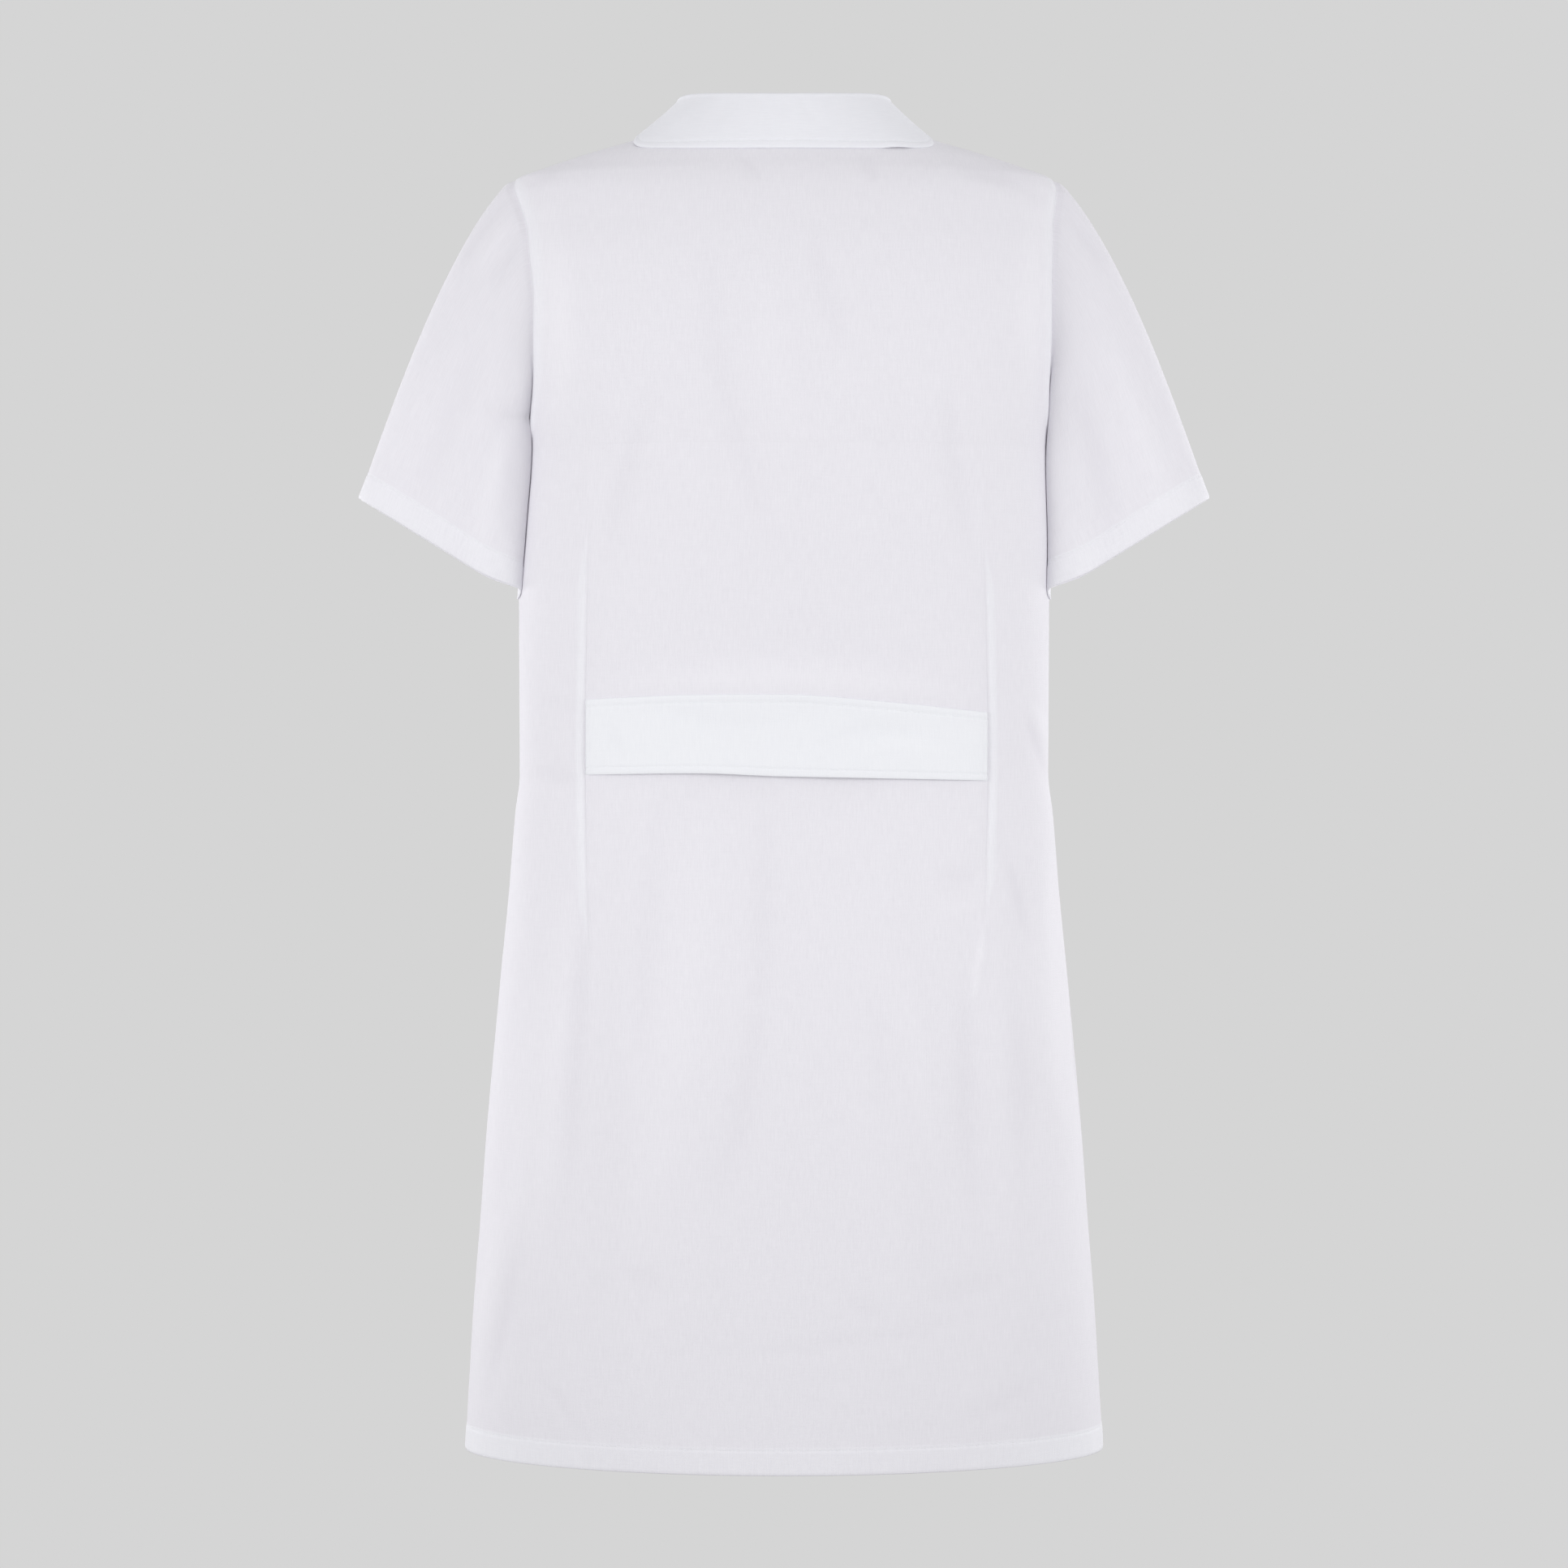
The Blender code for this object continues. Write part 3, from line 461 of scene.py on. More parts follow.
def make_curve(places, values):
    """A function of arrays that runs smoothly through the rows, without overshoot."""
    order = np.argsort(places)
    xs, ys = np.asarray(places, float)[order], np.asarray(values, float)[order]
    steps = np.diff(ys) / np.diff(xs)
    slopes = np.empty_like(ys)
    slopes[0], slopes[-1] = steps[0], steps[-1]
    for index in range(1, len(ys) - 1):
        before, after = steps[index - 1], steps[index]
        slopes[index] = 0 if before * after <= 0 else 2 * before * after / (before + after)

    def curve(place):
        inside = np.clip(place, xs[0], xs[-1])
        index = np.clip(np.searchsorted(xs, inside) - 1, 0, len(xs) - 2)
        width = xs[index + 1] - xs[index]
        t = (inside - xs[index]) / width
        rise = ys[index + 1] - ys[index]
        bend_in = slopes[index] * width - rise
        bend_out = rise - slopes[index + 1] * width
        return ys[index] + rise * t + t * (1 - t) * ((1 - t) * bend_in + t * bend_out)

    return curve


def curves(rows):
    """A curve for each column of a table, along its first."""
    places, *columns = np.array(rows).T
    return [make_curve(places, column) for column in columns]


HALF_WIDTH, BACK_DEPTH, FRONT_DEPTH, SQUARENESS, SHIFT = curves(SECTIONS)
DEPTH = {"back": BACK_DEPTH, "front": FRONT_DEPTH}
# How deep the line lies, by its z, where a sleeve meets the body.
SLEEVE_MEETS = make_curve((-0.200, -0.250, -0.345), (0.040, 0.033, 0.022))


def lateral_at_x(x, z):
    """The lateral place, -1 to 1 from seam to seam, at which the form's section at z has this x."""
    inward = x - SHIFT(z)
    share = np.minimum(np.abs(inward) / HALF_WIDTH(z), 1)
    return np.copysign(np.arcsin(share ** (SQUARENESS(z) / 2)) / (math.pi / 2), inward)


def lateral_at_y(y, z, piece):
    """The lateral place, 0 to 1, at which the form's section at z is this deep."""
    share = np.minimum(y / DEPTH[piece](z), 1)
    return np.arccos(share ** (SQUARENESS(z) / 2)) / (math.pi / 2)


def form_point(lateral, z, piece):
    """Points of the form. A lateral place past 1 lies round the side seam, on the other half."""
    power = 2 / SQUARENESS(z)
    angle = np.abs(lateral) * math.pi / 2
    x = np.copysign(HALF_WIDTH(z) * np.abs(np.sin(angle)) ** power, lateral)
    cosine = np.cos(angle)
    deep = np.where(cosine >= 0, DEPTH[piece](z), DEPTH[OTHER[piece]](z))
    y = FACING[piece] * np.sign(cosine) * deep * np.abs(cosine) ** power
    return np.stack((x + SHIFT(z), y, z + 0 * x), axis=-1)


def form_normal(points):
    """The outward directions of the form at some of its points."""
    x, y, z = np.moveaxis(points, -1, 0)

    def slope(curve, step=0.001):
        return (curve(z + step) - curve(z - step)) / (2 * step)

    inward = x - SHIFT(z)
    wide, power = HALF_WIDTH(z), SQUARENESS(z)
    deep = np.where(y >= 0, BACK_DEPTH(z), FRONT_DEPTH(z))
    across = (np.abs(inward) / wide) ** (power - 1)
    along = (np.abs(y) / deep) ** (power - 1)
    rise = across * np.abs(inward) / wide * slope(HALF_WIDTH) / wide
    rise = rise + along * np.abs(y) / deep * np.where(y >= 0, slope(BACK_DEPTH), slope(FRONT_DEPTH)) / deep
    return unit(np.stack((np.copysign(across / wide, inward), np.copysign(along / deep, y), -rise), axis=-1))


def dart_x(dart, z):
    """The x of a dart's seam at each level."""
    x_end, x_waist, z_top, z_low = dart
    return make_curve((z_low, WAIST_Z, z_top), (x_end, x_waist, x_end))(z)


def dart_places(piece, x, z):
    """By dart: how far out from its seam, the share of the way from waist to tip, and the way left."""
    for dart in DARTS[piece]:
        _, x_waist, z_top, z_low = dart
        off = (x - dart_x(dart, z)) * math.copysign(1, x_waist)
        share = np.abs(z - WAIST_Z) / np.where(z > WAIST_Z, z_top - WAIST_Z, WAIST_Z - z_low)
        yield off, share, np.where(z > WAIST_Z, z_top - z, z - z_low)


def dart_relief(piece, x, z):
    """The solids' own pull at the darts, each seam line, and the fold pressed to its outer side."""
    lift = np.zeros(np.broadcast(x, z).shape)
    for off, share, left in dart_places(piece, x, z):
        near = np.maximum(0, 1 - np.abs(off) / DART_HALF)
        lift -= DART_DEEP * near * near * ease(1 - share)
        sewn = ease((1 - share) * 9)
        lift -= DART_SEAM_SINK * bell(off, DART_SEAM_WIDTH) * sewn
        wide = DART_FOLD_ENDS + DART_FOLD_SWELL * ease((1 - share) * 1.6)
        lift += DART_FOLD_RISE * sewn * ease(off / 0.0012) * ease((wide - off) / 0.0020)
        lift += DART_TIP_RISE * bell(off, 0.0040) * hump((left + 0.018) / 0.032)
    return lift


def crease(x, z, start, middle, end, half_width):
    """A soft ridge of height 1 along the bent line through three points, tapered to its ends."""
    whole, part = np.subtract(end, start), np.subtract(middle, start)
    length = np.linalg.norm(whole)
    way = whole / length
    beside = np.array((-way[1], way[0]))
    along = ((x - start[0]) * way[0] + (z - start[1]) * way[1]) / length
    off = (x - start[0]) * beside[0] + (z - start[1]) * beside[1]
    at = part @ way / length
    inside = np.clip(along, 0, 1)
    bent = part @ beside * inside * (1 - inside) / (at * (1 - at))
    swell = np.maximum(np.sin(math.pi * inside), 0)
    return bell(off - bent, half_width * (0.65 + 0.55 * swell) * 0.62) * swell**0.8


def crease_sum(rows, x, z, steep=False):
    """The rise of a table of creases all together, or how steep they are."""
    total = np.zeros(np.broadcast(x, z).shape)
    for xa, za, xb, zb, xc, zc, half_width, rise in metres(rows):
        height = rise / half_width if steep else rise
        total += height * crease(x, z, (xa, za), (xb, zb), (xc, zc), half_width)
    return total


def fold_relief(piece, x, z):
    """The large folds, as on the solids, and the finer creases."""
    lift = crease_sum(CREASES[piece], x, z)
    for x_top, z_top, x_low, z_low, half_width, rise in metres(FOLDS[piece]):
        along = np.clip((z_top - z) / (z_top - z_low), 0, 1)
        across = np.abs(x - (x_top + (x_low - x_top) * along)) / half_width
        swell = np.maximum(np.sin(math.pi * along**0.8), 0) ** 0.7
        lift += rise * ease(1 - across) * swell
    return lift


def painted_fold_shading(piece, x, z):
    """Painted shading for the folds and creases: painted shade in troughs and painted light on ridges, by how
    steep they are, and painted shade along the body's sides.
    """
    folds = [(xa, za, (xa + xb) / 2, (za + zb) / 2, xb, zb, *size) for xa, za, xb, zb, *size in FOLDS[piece]]
    tone = CREASE_PAINTED_SHADE * crease_sum(CREASES[piece], x, z, steep=True)
    tone += FOLD_PAINTED_SHADE * crease_sum(folds, x, z, steep=True)
    # Painted shade along the body's two sides.
    tone += SIDE_PAINTED_SHADE * bell(HALF_WIDTH(z) - np.abs(x - SHIFT(z)), 0.005)
    return np.clip(tone, -MOST_PAINTED_SHADE, MOST_PAINTED_SHADE)


def tuck_under(piece, side, x):
    """How far the wearer's left front dips, to pass under the right front at the centre."""
    if piece != "front" or side < 0:
        return 0
    return -LAP_TUCK * ease((LAP_BLEND - x) / (LAP_BLEND - LAP_FLAT))


def armhole_depth(z, piece, side):
    """How far the armhole's edge lies from the side and shoulder seams."""
    share = np.clip((z - ARMHOLE_MID) / ARMHOLE_HALF, -1, 1)
    power = np.where(share > 0, ARMHOLE_POWERS[1], ARMHOLE_POWERS[0])
    return ARMHOLE_DEPTHS[piece, side] * (1 - share * share) ** power


def seam_y(z, side):
    """How far behind the side the side seam runs: on the right of the skirt it swings to the back."""
    return (side < 0) * SEAM_SWING * hump((z - SEAM_SWING_Z) / SEAM_SWING_HALF)


def front_edge_x(z):
    """A front's inner edge from the centre: the neckline above, and below it the lap across the centre."""
    share = (z - ARMHOLE_MID) / (NECK_Z - ARMHOLE_MID)
    return -LAP + (NECK_SIDE_X + LAP) * np.maximum(share, 0) ** NECK_CURVE


def side_gaps(piece, side, x, y, z):
    """By side: each point's depth from the armhole or side seam, and whether it is at that side."""
    for half in (-1, 1):
        if side in (0, half):
            edge = armhole_depth(z, piece, half) + FACING[piece] * seam_y(z, half)
            yield np.abs(FACING[piece] * y - edge), x * half > SIDE_X


def cloth_points(lateral, z, piece, side=0, fine=True):
    """The outer face of the cloth, and its outward direction, at lateral places and levels."""
    points = form_point(lateral, z, piece)
    normals = form_normal(points)
    x, y = points[..., 0], points[..., 1]
    lift = dart_relief(piece, x, z) + fold_relief(piece, x, z) + tuck_under(piece, side, x)
    if fine:
        lift = lift + edge_relief(piece, side, x, y, z)
    return points + normals * lift[..., None], normals


def groove(distance, sink):
    """What a line of stitches pulls in."""
    return -sink * bell(distance, STITCH_GROOVE)


def band_relief(distance, band, pucker, spread, roll):
    """A turned-up band: its step, the line of its stitches, the pucker beside them and its rolled edge."""
    above = distance - band
    lift = BAND_STEP * (ease(-above / 0.0016) - bell(above + STITCH_INSET, 0.0011))
    return lift + pucker * bell(above + PUCKER_INSET, spread) - EDGE_ROLL * bell(distance, roll)


def edge_relief(piece, side, x, y, z):
    """The hem band and its stitch line, and how the cloth rolls in at its seams."""
    waves = np.sin(x * 310 + 2 * np.sin(x * 57)) * np.sin(x * 91 + 1)
    lift = band_relief(z - HEM_Z, HEM_BAND, HEM_PUCKER * waves, 0.011, 0.0012)
    for gap, beside in side_gaps(piece, side, x, y, z):
        lift = lift - EDGE_ROLL * bell(gap, 0.0012) * beside
        armhole = beside * ease((z - UNDERARM_Z + 0.02) / 0.03) * ease((SHOULDER_Z - z) / 0.02)
        lift = lift + ARMHOLE_SWELL * armhole * hump((gap - 0.0065) / 0.0075)
    if piece == "front":
        gap = x * side - front_edge_x(z)
        lift = lift - FRONT_ROLL * bell(gap, 0.0011)
        shown = ease((ARMHOLE_MID - z) / 0.03)
        lift = lift + groove(gap - FRONT_STITCHES[1], FRONT_STITCH_SINK) * shown
    return lift


def grid_normals(points, toward, closed=False):
    """The direction square to a grid of points, turned to agree with rough outward directions."""
    if closed:
        across = np.roll(points, -1, axis=1) - np.roll(points, 1, axis=1)
    else:
        across = np.gradient(points, axis=1)
    normals = unit(np.cross(across, np.gradient(points, axis=0)))
    return normals * np.sign((normals * toward).sum())


def grid_uv(points, closed=False):
    """Each point's place on the flat cloth: metres across and metres along."""
    across = np.linalg.norm(np.diff(points, axis=1), axis=2)
    u = np.concatenate((np.zeros((len(points), 1)), np.cumsum(across, axis=1)), axis=1)
    if not closed:
        middle = points.shape[1] // 2
        u = u - u[:, middle : middle + 1]
    along = np.linalg.norm(np.diff(points, axis=0), axis=2)
    v = np.concatenate((np.zeros((1, points.shape[1])), np.cumsum(along, axis=0)), axis=0)
    return np.stack((u, v.mean(axis=1, keepdims=True) + 0 * u), axis=-1)


def link(name, data):
    """A new object in the scene."""
    made = bpy.data.objects.new(name, data)
    bpy.context.scene.collection.objects.link(made)
    return made


def add_piece(mesh, material, node=None):
    """A mesh as a piece that rides on the tunic's one body, in place of a node if one is named."""
    mesh.materials.append(material)
    made = link(mesh.name, mesh)
    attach(made, "root")
    if node:
        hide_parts(node)
    return made


def smooth_mesh(name, points, faces):
    """A smooth mesh of an array of points."""
    mesh = bpy.data.meshes.new(name)
    mesh.from_pydata(points.reshape(-1, 3).tolist(), [], faces)
    mesh.shade_smooth()
    return mesh


def mesh_from(made, name):
    """A mesh of a finished bmesh."""
    mesh = bpy.data.meshes.new(name)
    made.to_mesh(mesh)
    made.free()
    return mesh


def shell_mesh(name, outer, inner, closed=False, **marks):
    """A thin closed wall between two grids of points, with the flat cloth's coordinates as its UV map."""
    rows, columns = outer.shape[:2]
    count = rows * columns
    index = np.arange(count).reshape(rows, columns)
    right = np.roll(index, -1, axis=1) if closed else index[:, 1:]
    left = index if closed else index[:, :-1]

    def rim(first, second, turned):
        strip = np.stack((first, second, second + count, first + count), axis=-1)
        return strip[:, ::-1] if turned else strip

    quads = np.stack((left[:-1], right[:-1], right[1:], left[1:]), axis=-1).reshape(-1, 4)
    faces = [quads, quads[:, ::-1] + count, rim(left[0], right[0], True), rim(left[-1], right[-1], False)]
    if not closed:
        for column, turned in ((0, False), (-1, True)):
            faces.append(rim(index[:-1, column], index[1:, column], turned))
    faces = np.concatenate(faces)
    mesh = smooth_mesh(name, np.stack((outer, inner)), faces.tolist())
    uv = np.tile(grid_uv(outer, closed).reshape(-1, 2), (2, 1))
    layer = mesh.uv_layers.new(name="cloth")
    layer.data.foreach_set("uv", uv[faces.reshape(-1)].astype(np.float32).ravel())
    made = bmesh.new()
    made.from_mesh(mesh)
    bmesh.ops.recalc_face_normals(made, faces=made.faces)
    made.to_mesh(mesh)
    made.free()
    for mark, values in marks.items():
        kept = mesh.attributes.new(mark, "FLOAT", "POINT")
        kept.data.foreach_set("value", np.tile(np.asarray(values, np.float32).ravel(), 2))
    mesh.shade_smooth()
    return mesh


def tube_mesh(name, centres, beside, up, radius, sides):
    """Closed tubes: by tube and ring, the centres and two directions across, and the rings' radii."""
    turns = 2 * math.pi * np.arange(sides)[:, None] / sides
    across = beside[..., None, :] * np.cos(turns) + up[..., None, :] * np.sin(turns)
    points = centres[..., None, :] + across * np.reshape(radius, (-1, 1, 1))
    tubes, rings = points.shape[:2]
    faces = []
    for tube in range(tubes):
        first = tube * rings * sides
        last = first + (rings - 1) * sides
        for a in range(first, last):
            b = a + 1 if (a + 1) % sides else a + 1 - sides
            faces.append((a, b, b + sides, a + sides))
        faces.append(tuple(reversed(range(first, first + sides))))
        faces.append(tuple(range(last, last + sides)))
    return smooth_mesh(name, points, faces)


def thread_mesh(name, runs, radius, sides):
    """Threads of one radius along runs of points."""
    runs = np.array(runs)
    ways = unit(np.gradient(runs, axis=1))
    beside = unit(np.cross(ways, (0, 0.3, 1)))
    return tube_mesh(name, runs, beside, np.cross(beside, ways), radius, sides)


def way_along(line):
    """The length of a line of points up to each of them."""
    return np.concatenate(([0], np.cumsum(np.linalg.norm(np.diff(line, axis=0), axis=1))))


def between(at, places, rows):
    """The rows of points or directions at other places, found between those beside them."""
    return np.stack([np.interp(at, places, column) for column in np.transpose(rows)], axis=-1)


def sew(name, runs):
    """Stitches along runs of (points, outward directions): a short spindle of thread for each."""
    middles, ways, ups = [], [], []
    for line, outward in runs:
        lengths = way_along(line)
        number = int(lengths[-1] / STITCH_PITCH)
        at = (np.arange(number) + 0.5) * lengths[-1] / number
        before, after = (between(at + step, lengths, line) for step in (-0.001, 0.001))
        way, up = unit(after - before), between(at, lengths, outward)
        middles.append((before + after) / 2)
        ways.append(way)
        ups.append(square_to(up, way))
    middle, way, up = (np.concatenate(parts)[:, None] for parts in (middles, ways, ups))
    place, size, drop = np.array(STITCH_RINGS).T[:, None, :, None]
    centres = middle + way * place * STITCH_LENGTH + up * (drop + STITCH_RADIUS * 0.35)
    mesh = tube_mesh(name, centres, np.cross(way, up), up, STITCH_RADIUS * size, 6)
    return add_piece(mesh, THREAD_LOOK)


class Look:
    """A node material, put together by short calls."""

    def __init__(self, name):
        self.material = bpy.data.materials.new(name)
        self.material.use_nodes = True
        self.tree = self.material.node_tree
        self.shader = self.tree.nodes["Principled BSDF"]

    def feed(self, node, **values):
        """Gives a node's inputs, named with _ for a space, a value or another node's output."""
        for key, value in values.items():
            self.feed_one(node.inputs[key.replace("_", " ")], value)

    def feed_one(self, socket, value):
        """Gives one input a value or another node's output."""
        if isinstance(value, bpy.types.NodeSocket):
            self.tree.links.new(value, socket)
        else:
            socket.default_value = value

    def node(self, kind, *values, **settings):
        """A new node with these properties, and these values in its first inputs."""
        made = self.tree.nodes.new("ShaderNode" + kind)
        for key, value in settings.items():
            setattr(made, key, value)
        for socket, value in zip(made.inputs, values):
            self.feed_one(socket, value)
        return made

    def math(self, operation, *values):
        """The result of a sum on numbers and outputs."""
        return self.node("Math", *values, operation=operation).outputs[0]

    def noise(self, place, scale, detail, roughness=0.5):
        """Cloudy noise."""
        made = self.node("TexNoise")
        self.feed(made, Vector=place, Scale=scale, Detail=detail, Roughness=roughness)
        return made.outputs["Fac"]

    def mix(self, share, first, second, blend="MIX"):
        """A colour between two."""
        made = self.node("Mix", share, data_type="RGBA", blend_type=blend)
        self.feed_one(made.inputs[6], first)
        self.feed_one(made.inputs[7], second)
        return made.outputs[2]

    def bump(self, height, strength, distance):
        """Small relief in the surface's shading."""
        made = self.node("Bump")
        self.feed(made, Height=height, Strength=strength, Distance=distance)
        self.feed(self.shader, Normal=made.outputs[0])

    def roughness(self, noise, low, high):
        """Roughness that wavers between two values."""
        made = self.node("MapRange")
        self.feed(made, Value=noise, To_Min=low, To_Max=high)
        self.feed(self.shader, Roughness=made.outputs[0])


def cloth_look(name, colour, shade, weave=1):
    """Matte woven cloth: threads both ways, slubs along them, and faint cloudiness, all from its flat place.

    One mark, 0 to 1, says where more cloth lies behind it, which makes thin white cloth whiter, and also
    holds painted light towards the hem's sides;
    the other, less or more than 0, is painted shade in creases and painted light on ridges and folds.
    """
    look = Look(name)
    place = look.node("UVMap", uv_map="cloth").outputs[0]

    def streaks(across, along, detail):
        mapping = look.node("Mapping", place)
        look.feed(mapping, Scale=(across, along, 1))
        return look.noise(mapping.outputs[0], 1, detail, 0.6)

    warp, weft, clouds = streaks(1000, 75, 3), streaks(60, 1000, 2), streaks(52, 24, 4)
    u, v, _ = look.node("SeparateXYZ", place).outputs
    wave_u, wave_v = (
        look.math("SINE", look.math("MULTIPLY", way, 2 * math.pi / THREAD_PITCH)) for way in (u, v)
    )
    woven = look.math("MULTIPLY", wave_u, wave_v)
    relief, layers = (
        look.node("Attribute", attribute_name=mark).outputs["Fac"] for mark in ("relief", "layers")
    )
    tone = look.math("MULTIPLY", look.math("SUBTRACT", warp, 0.5), WARP_TONE * weave)
    for source, strength in ((weft, WEFT_TONE * weave), (clouds, CLOUD_TONE)):
        tone = look.math("ADD", tone, look.math("MULTIPLY", look.math("SUBTRACT", source, 0.5), strength))
    # The painted shade and painted light of the creases join the colour's tone here.
    for source, strength in ((woven, WEAVE_TONE * weave), (relief, PAINTED_SHADING_STRENGTH)):
        tone = look.math("ADD", tone, look.math("MULTIPLY", source, strength))
    tone = look.math("ADD", tone, 0.5)
    single = look.mix(tone, (*shade, 1), (*colour, 1))
    look.feed(look.shader, Base_Color=look.mix(layers, single, (*BACKED_AND_LIT, 1), "MULTIPLY"))
    height = look.math("ADD", look.math("MULTIPLY", woven, 0.25), look.math("MULTIPLY", warp, 0.9))
    height = look.math("ADD", height, look.math("MULTIPLY", weft, 0.6))
    look.bump(height, 0.5 * weave, 0.00025)
    look.roughness(warp, 0.78, 0.92)
    look.feed(look.shader, Specular_IOR_Level=0.22, Sheen_Weight=0.12, Sheen_Roughness=0.5)
    return look.material


def speckled_look(name, scale, detail, dark, light):
    """A look whose colour wavers between two, with the noise that it follows."""
    look = Look(name)
    noise = look.noise(look.node("TexCoord").outputs["Object"], scale, detail)
    ramp = look.node("ValToRGB", noise)
    for element, colour in zip(ramp.color_ramp.elements, (dark, light)):
        element.color = (*colour, 1)
    look.feed(look.shader, Base_Color=ramp.outputs[0])
    return look, noise


def thread_look():
    """Bright twisted polyester thread."""
    look, noise = speckled_look("sewing_thread", 2600, 2, (0.78, 0.78, 0.82), (0.90, 0.91, 0.93))
    look.bump(noise, 0.3, 0.0001)
    look.feed(look.shader, Roughness=0.5, Sheen_Weight=0.15)
    return look.material


def button_look():
    """Milky pressed plastic with a faint cloud in it."""
    look, noise = speckled_look("button_plastic", 140, 3, (0.74, 0.74, 0.72), (0.86, 0.86, 0.85))
    look.roughness(noise, 0.24, 0.36)
    look.feed(look.shader, Subsurface_Weight=0.1, Subsurface_Radius=(0.002, 0.002, 0.002))
    return look.material


CLOTH_LOOK = cloth_look("single_cloth", (0.835, 0.822, 0.868), (0.765, 0.750, 0.800))
DOUBLE_LOOK = cloth_look("double_cloth", (0.869, 0.877, 0.909), (0.805, 0.813, 0.852), 0.75)
# The collar's cloth is a copy of the double cloth, painted a little darker as painted shade.
SHADED_COLLAR_LOOK = cloth_look("collar_cloth", (0.850, 0.852, 0.894), (0.788, 0.790, 0.838), 0.75)
THREAD_LOOK = thread_look()
BUTTON_LOOK = button_look()


def spaced(*marks):
    """Places from (start, end, count) stretches joined end to end."""
    found = [np.linspace(a, b, max(2, int(round(n * GRID))), endpoint=False) for a, b, n in marks]
    return np.concatenate((*found, [marks[-1][1]]))


def panel_levels(top):
    """The z of each row of a body panel, from the hem up: closest at the hem's stitches and armhole."""
    edge, near, past = HEM_Z + 0.003, HEM_Z + HEM_BAND - 0.006, HEM_Z + HEM_BAND + 0.003
    low = spaced((HEM_Z, edge, 4), (edge, near, 6), (near, past, 12))
    body = spaced((past, UNDERARM_Z - 0.01, 128))[1:]
    arm = ARMHOLE_MID + ARMHOLE_HALF * np.cos(spaced((math.pi, 0, 74)))
    return np.concatenate((low, body, arm, spaced((SHOULDER_Z, top, 16))[1:]))


# A panel's columns: stretches from its inner edge to the dart, and from there to the seam.
TO_DART = ((0, 0.93, 28), (0.93, 1, 8))
TO_SEAM = ((0, 0.16, 10), (0.16, 0.84, 14), (0.84, 1, 10))
DART_REACH = 0.70


def panel_columns(piece, side, z, inner):
    """The lateral place of each column of each row, on one side, from its inner to its outer edge."""
    outer = outer_edge(z, piece, side)
    dart = next(row for row in DARTS[piece] if row[0] * side > 0)
    wanted = side * lateral_at_x(dart_x(dart, z), z)
    middle = np.minimum(wanted, inner + (outer - inner) * DART_REACH)
    first = inner[:, None] + (middle - inner)[:, None] * spaced(*TO_DART)
    second = middle[:, None] + (outer - middle)[:, None] * spaced(*TO_SEAM)[1:]
    return np.concatenate((first, second), axis=1)


def outer_edge(z, piece, side):
    """The lateral place of a panel's outer edge, past 1 where its seam swings round the side."""
    own = armhole_depth(z, piece, side) + FACING[piece] * seam_y(z, side)
    inside = lateral_at_y(np.maximum(own, 0), z, piece)
    past = 2 - lateral_at_y(np.maximum(-own, 0), z, OTHER[piece])
    return np.where(own >= 0, inside, past)


def wall(points, normals, distance, band, closed=False):
    """The inner face of cloth that is thicker in a turned-up band, and the direction square to it."""
    square = grid_normals(points, normals, closed)
    thick = CLOTH + TURN_UP_CLOTH * ease((band - distance) / 0.0010)
    return points - square * thick[..., None], square


def layers_behind(piece, side, x, y, z):
    """Where a panel has more cloth behind it, 0 to 1: its hem, dart folds, armhole seams and button stand;
    towards the hem's sides it is painted light.
    """
    middle, painted_side_light = HEM_LAYERS_AND_SIDE_LIGHT
    # The hem band is doubled cloth, whiter still towards the sides as painted light.
    layers = (middle + painted_side_light * ease((np.abs(x) - 0.12) / 0.10)) * ease((HEM_BAND - (z - HEM_Z)) / 0.0012)
    for off, share, _ in dart_places(piece, x, z):
        wide = DART_FOLD_WIDE * ease((1 - share) * 3.2)
        layers = np.maximum(layers, DART_LAYERS * ease(off / 0.0012) * ease((wide - off) / 0.0026))
    for gap, beside in side_gaps(piece, side, x, y, z):
        beside = beside & (z < SHOULDER_Z) & (z > UNDERARM_Z - 0.01)
        layers = np.maximum(layers, ARMHOLE_LAYERS * ease((ARMHOLE_SEAM_WIDE - gap) / 0.0080) * beside)
    if piece == "front":
        inset = x * side - front_edge_x(z)
        layers = np.maximum(layers, BUTTON_STAND_LAYERS * ease((BUTTON_STAND_WIDE - inset) / 0.0012))
    return layers


def make_panel(node, piece, side, levels, lateral):
    """A body panel's shell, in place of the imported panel."""
    z = levels[:, None] + 0 * lateral
    points, normals = cloth_points(lateral, z, piece, side)
    inner, _ = wall(points, normals, z - HEM_Z, HEM_BAND)
    x, y = points[..., 0], points[..., 1]
    # The marks: painted shading of the creases, folds and sides, and the cloth behind, with painted light
    # towards the hem's sides.
    marks = {"relief": painted_fold_shading(piece, x, z), "layers": layers_behind(piece, side, x, y, z)}
    mesh = shell_mesh(f"{node}_cloth", points, inner, **marks)
    return add_piece(mesh, CLOTH_LOOK, node)


def hem_run(piece, side, first, last):
    """The hem's stitch line on a panel, between two lateral places."""
    laterals = np.linspace(first, last, 160)
    return cloth_points(laterals, np.full_like(laterals, HEM_Z + HEM_BAND - STITCH_INSET), piece, side)


def make_back():
    """The back, in one piece from side seam to side seam."""
    levels = panel_levels(NECK_Z)
    middle = np.zeros_like(levels)
    right, left = (panel_columns("back", side, levels, middle) for side in (-1, 1))
    lateral = np.concatenate((-right[:, :0:-1], left), axis=1)
    made = make_panel("back", "back", 0, levels, lateral)
    thread = sew("back_stitches", [hem_run("back", 0, -0.99, 0.99)])


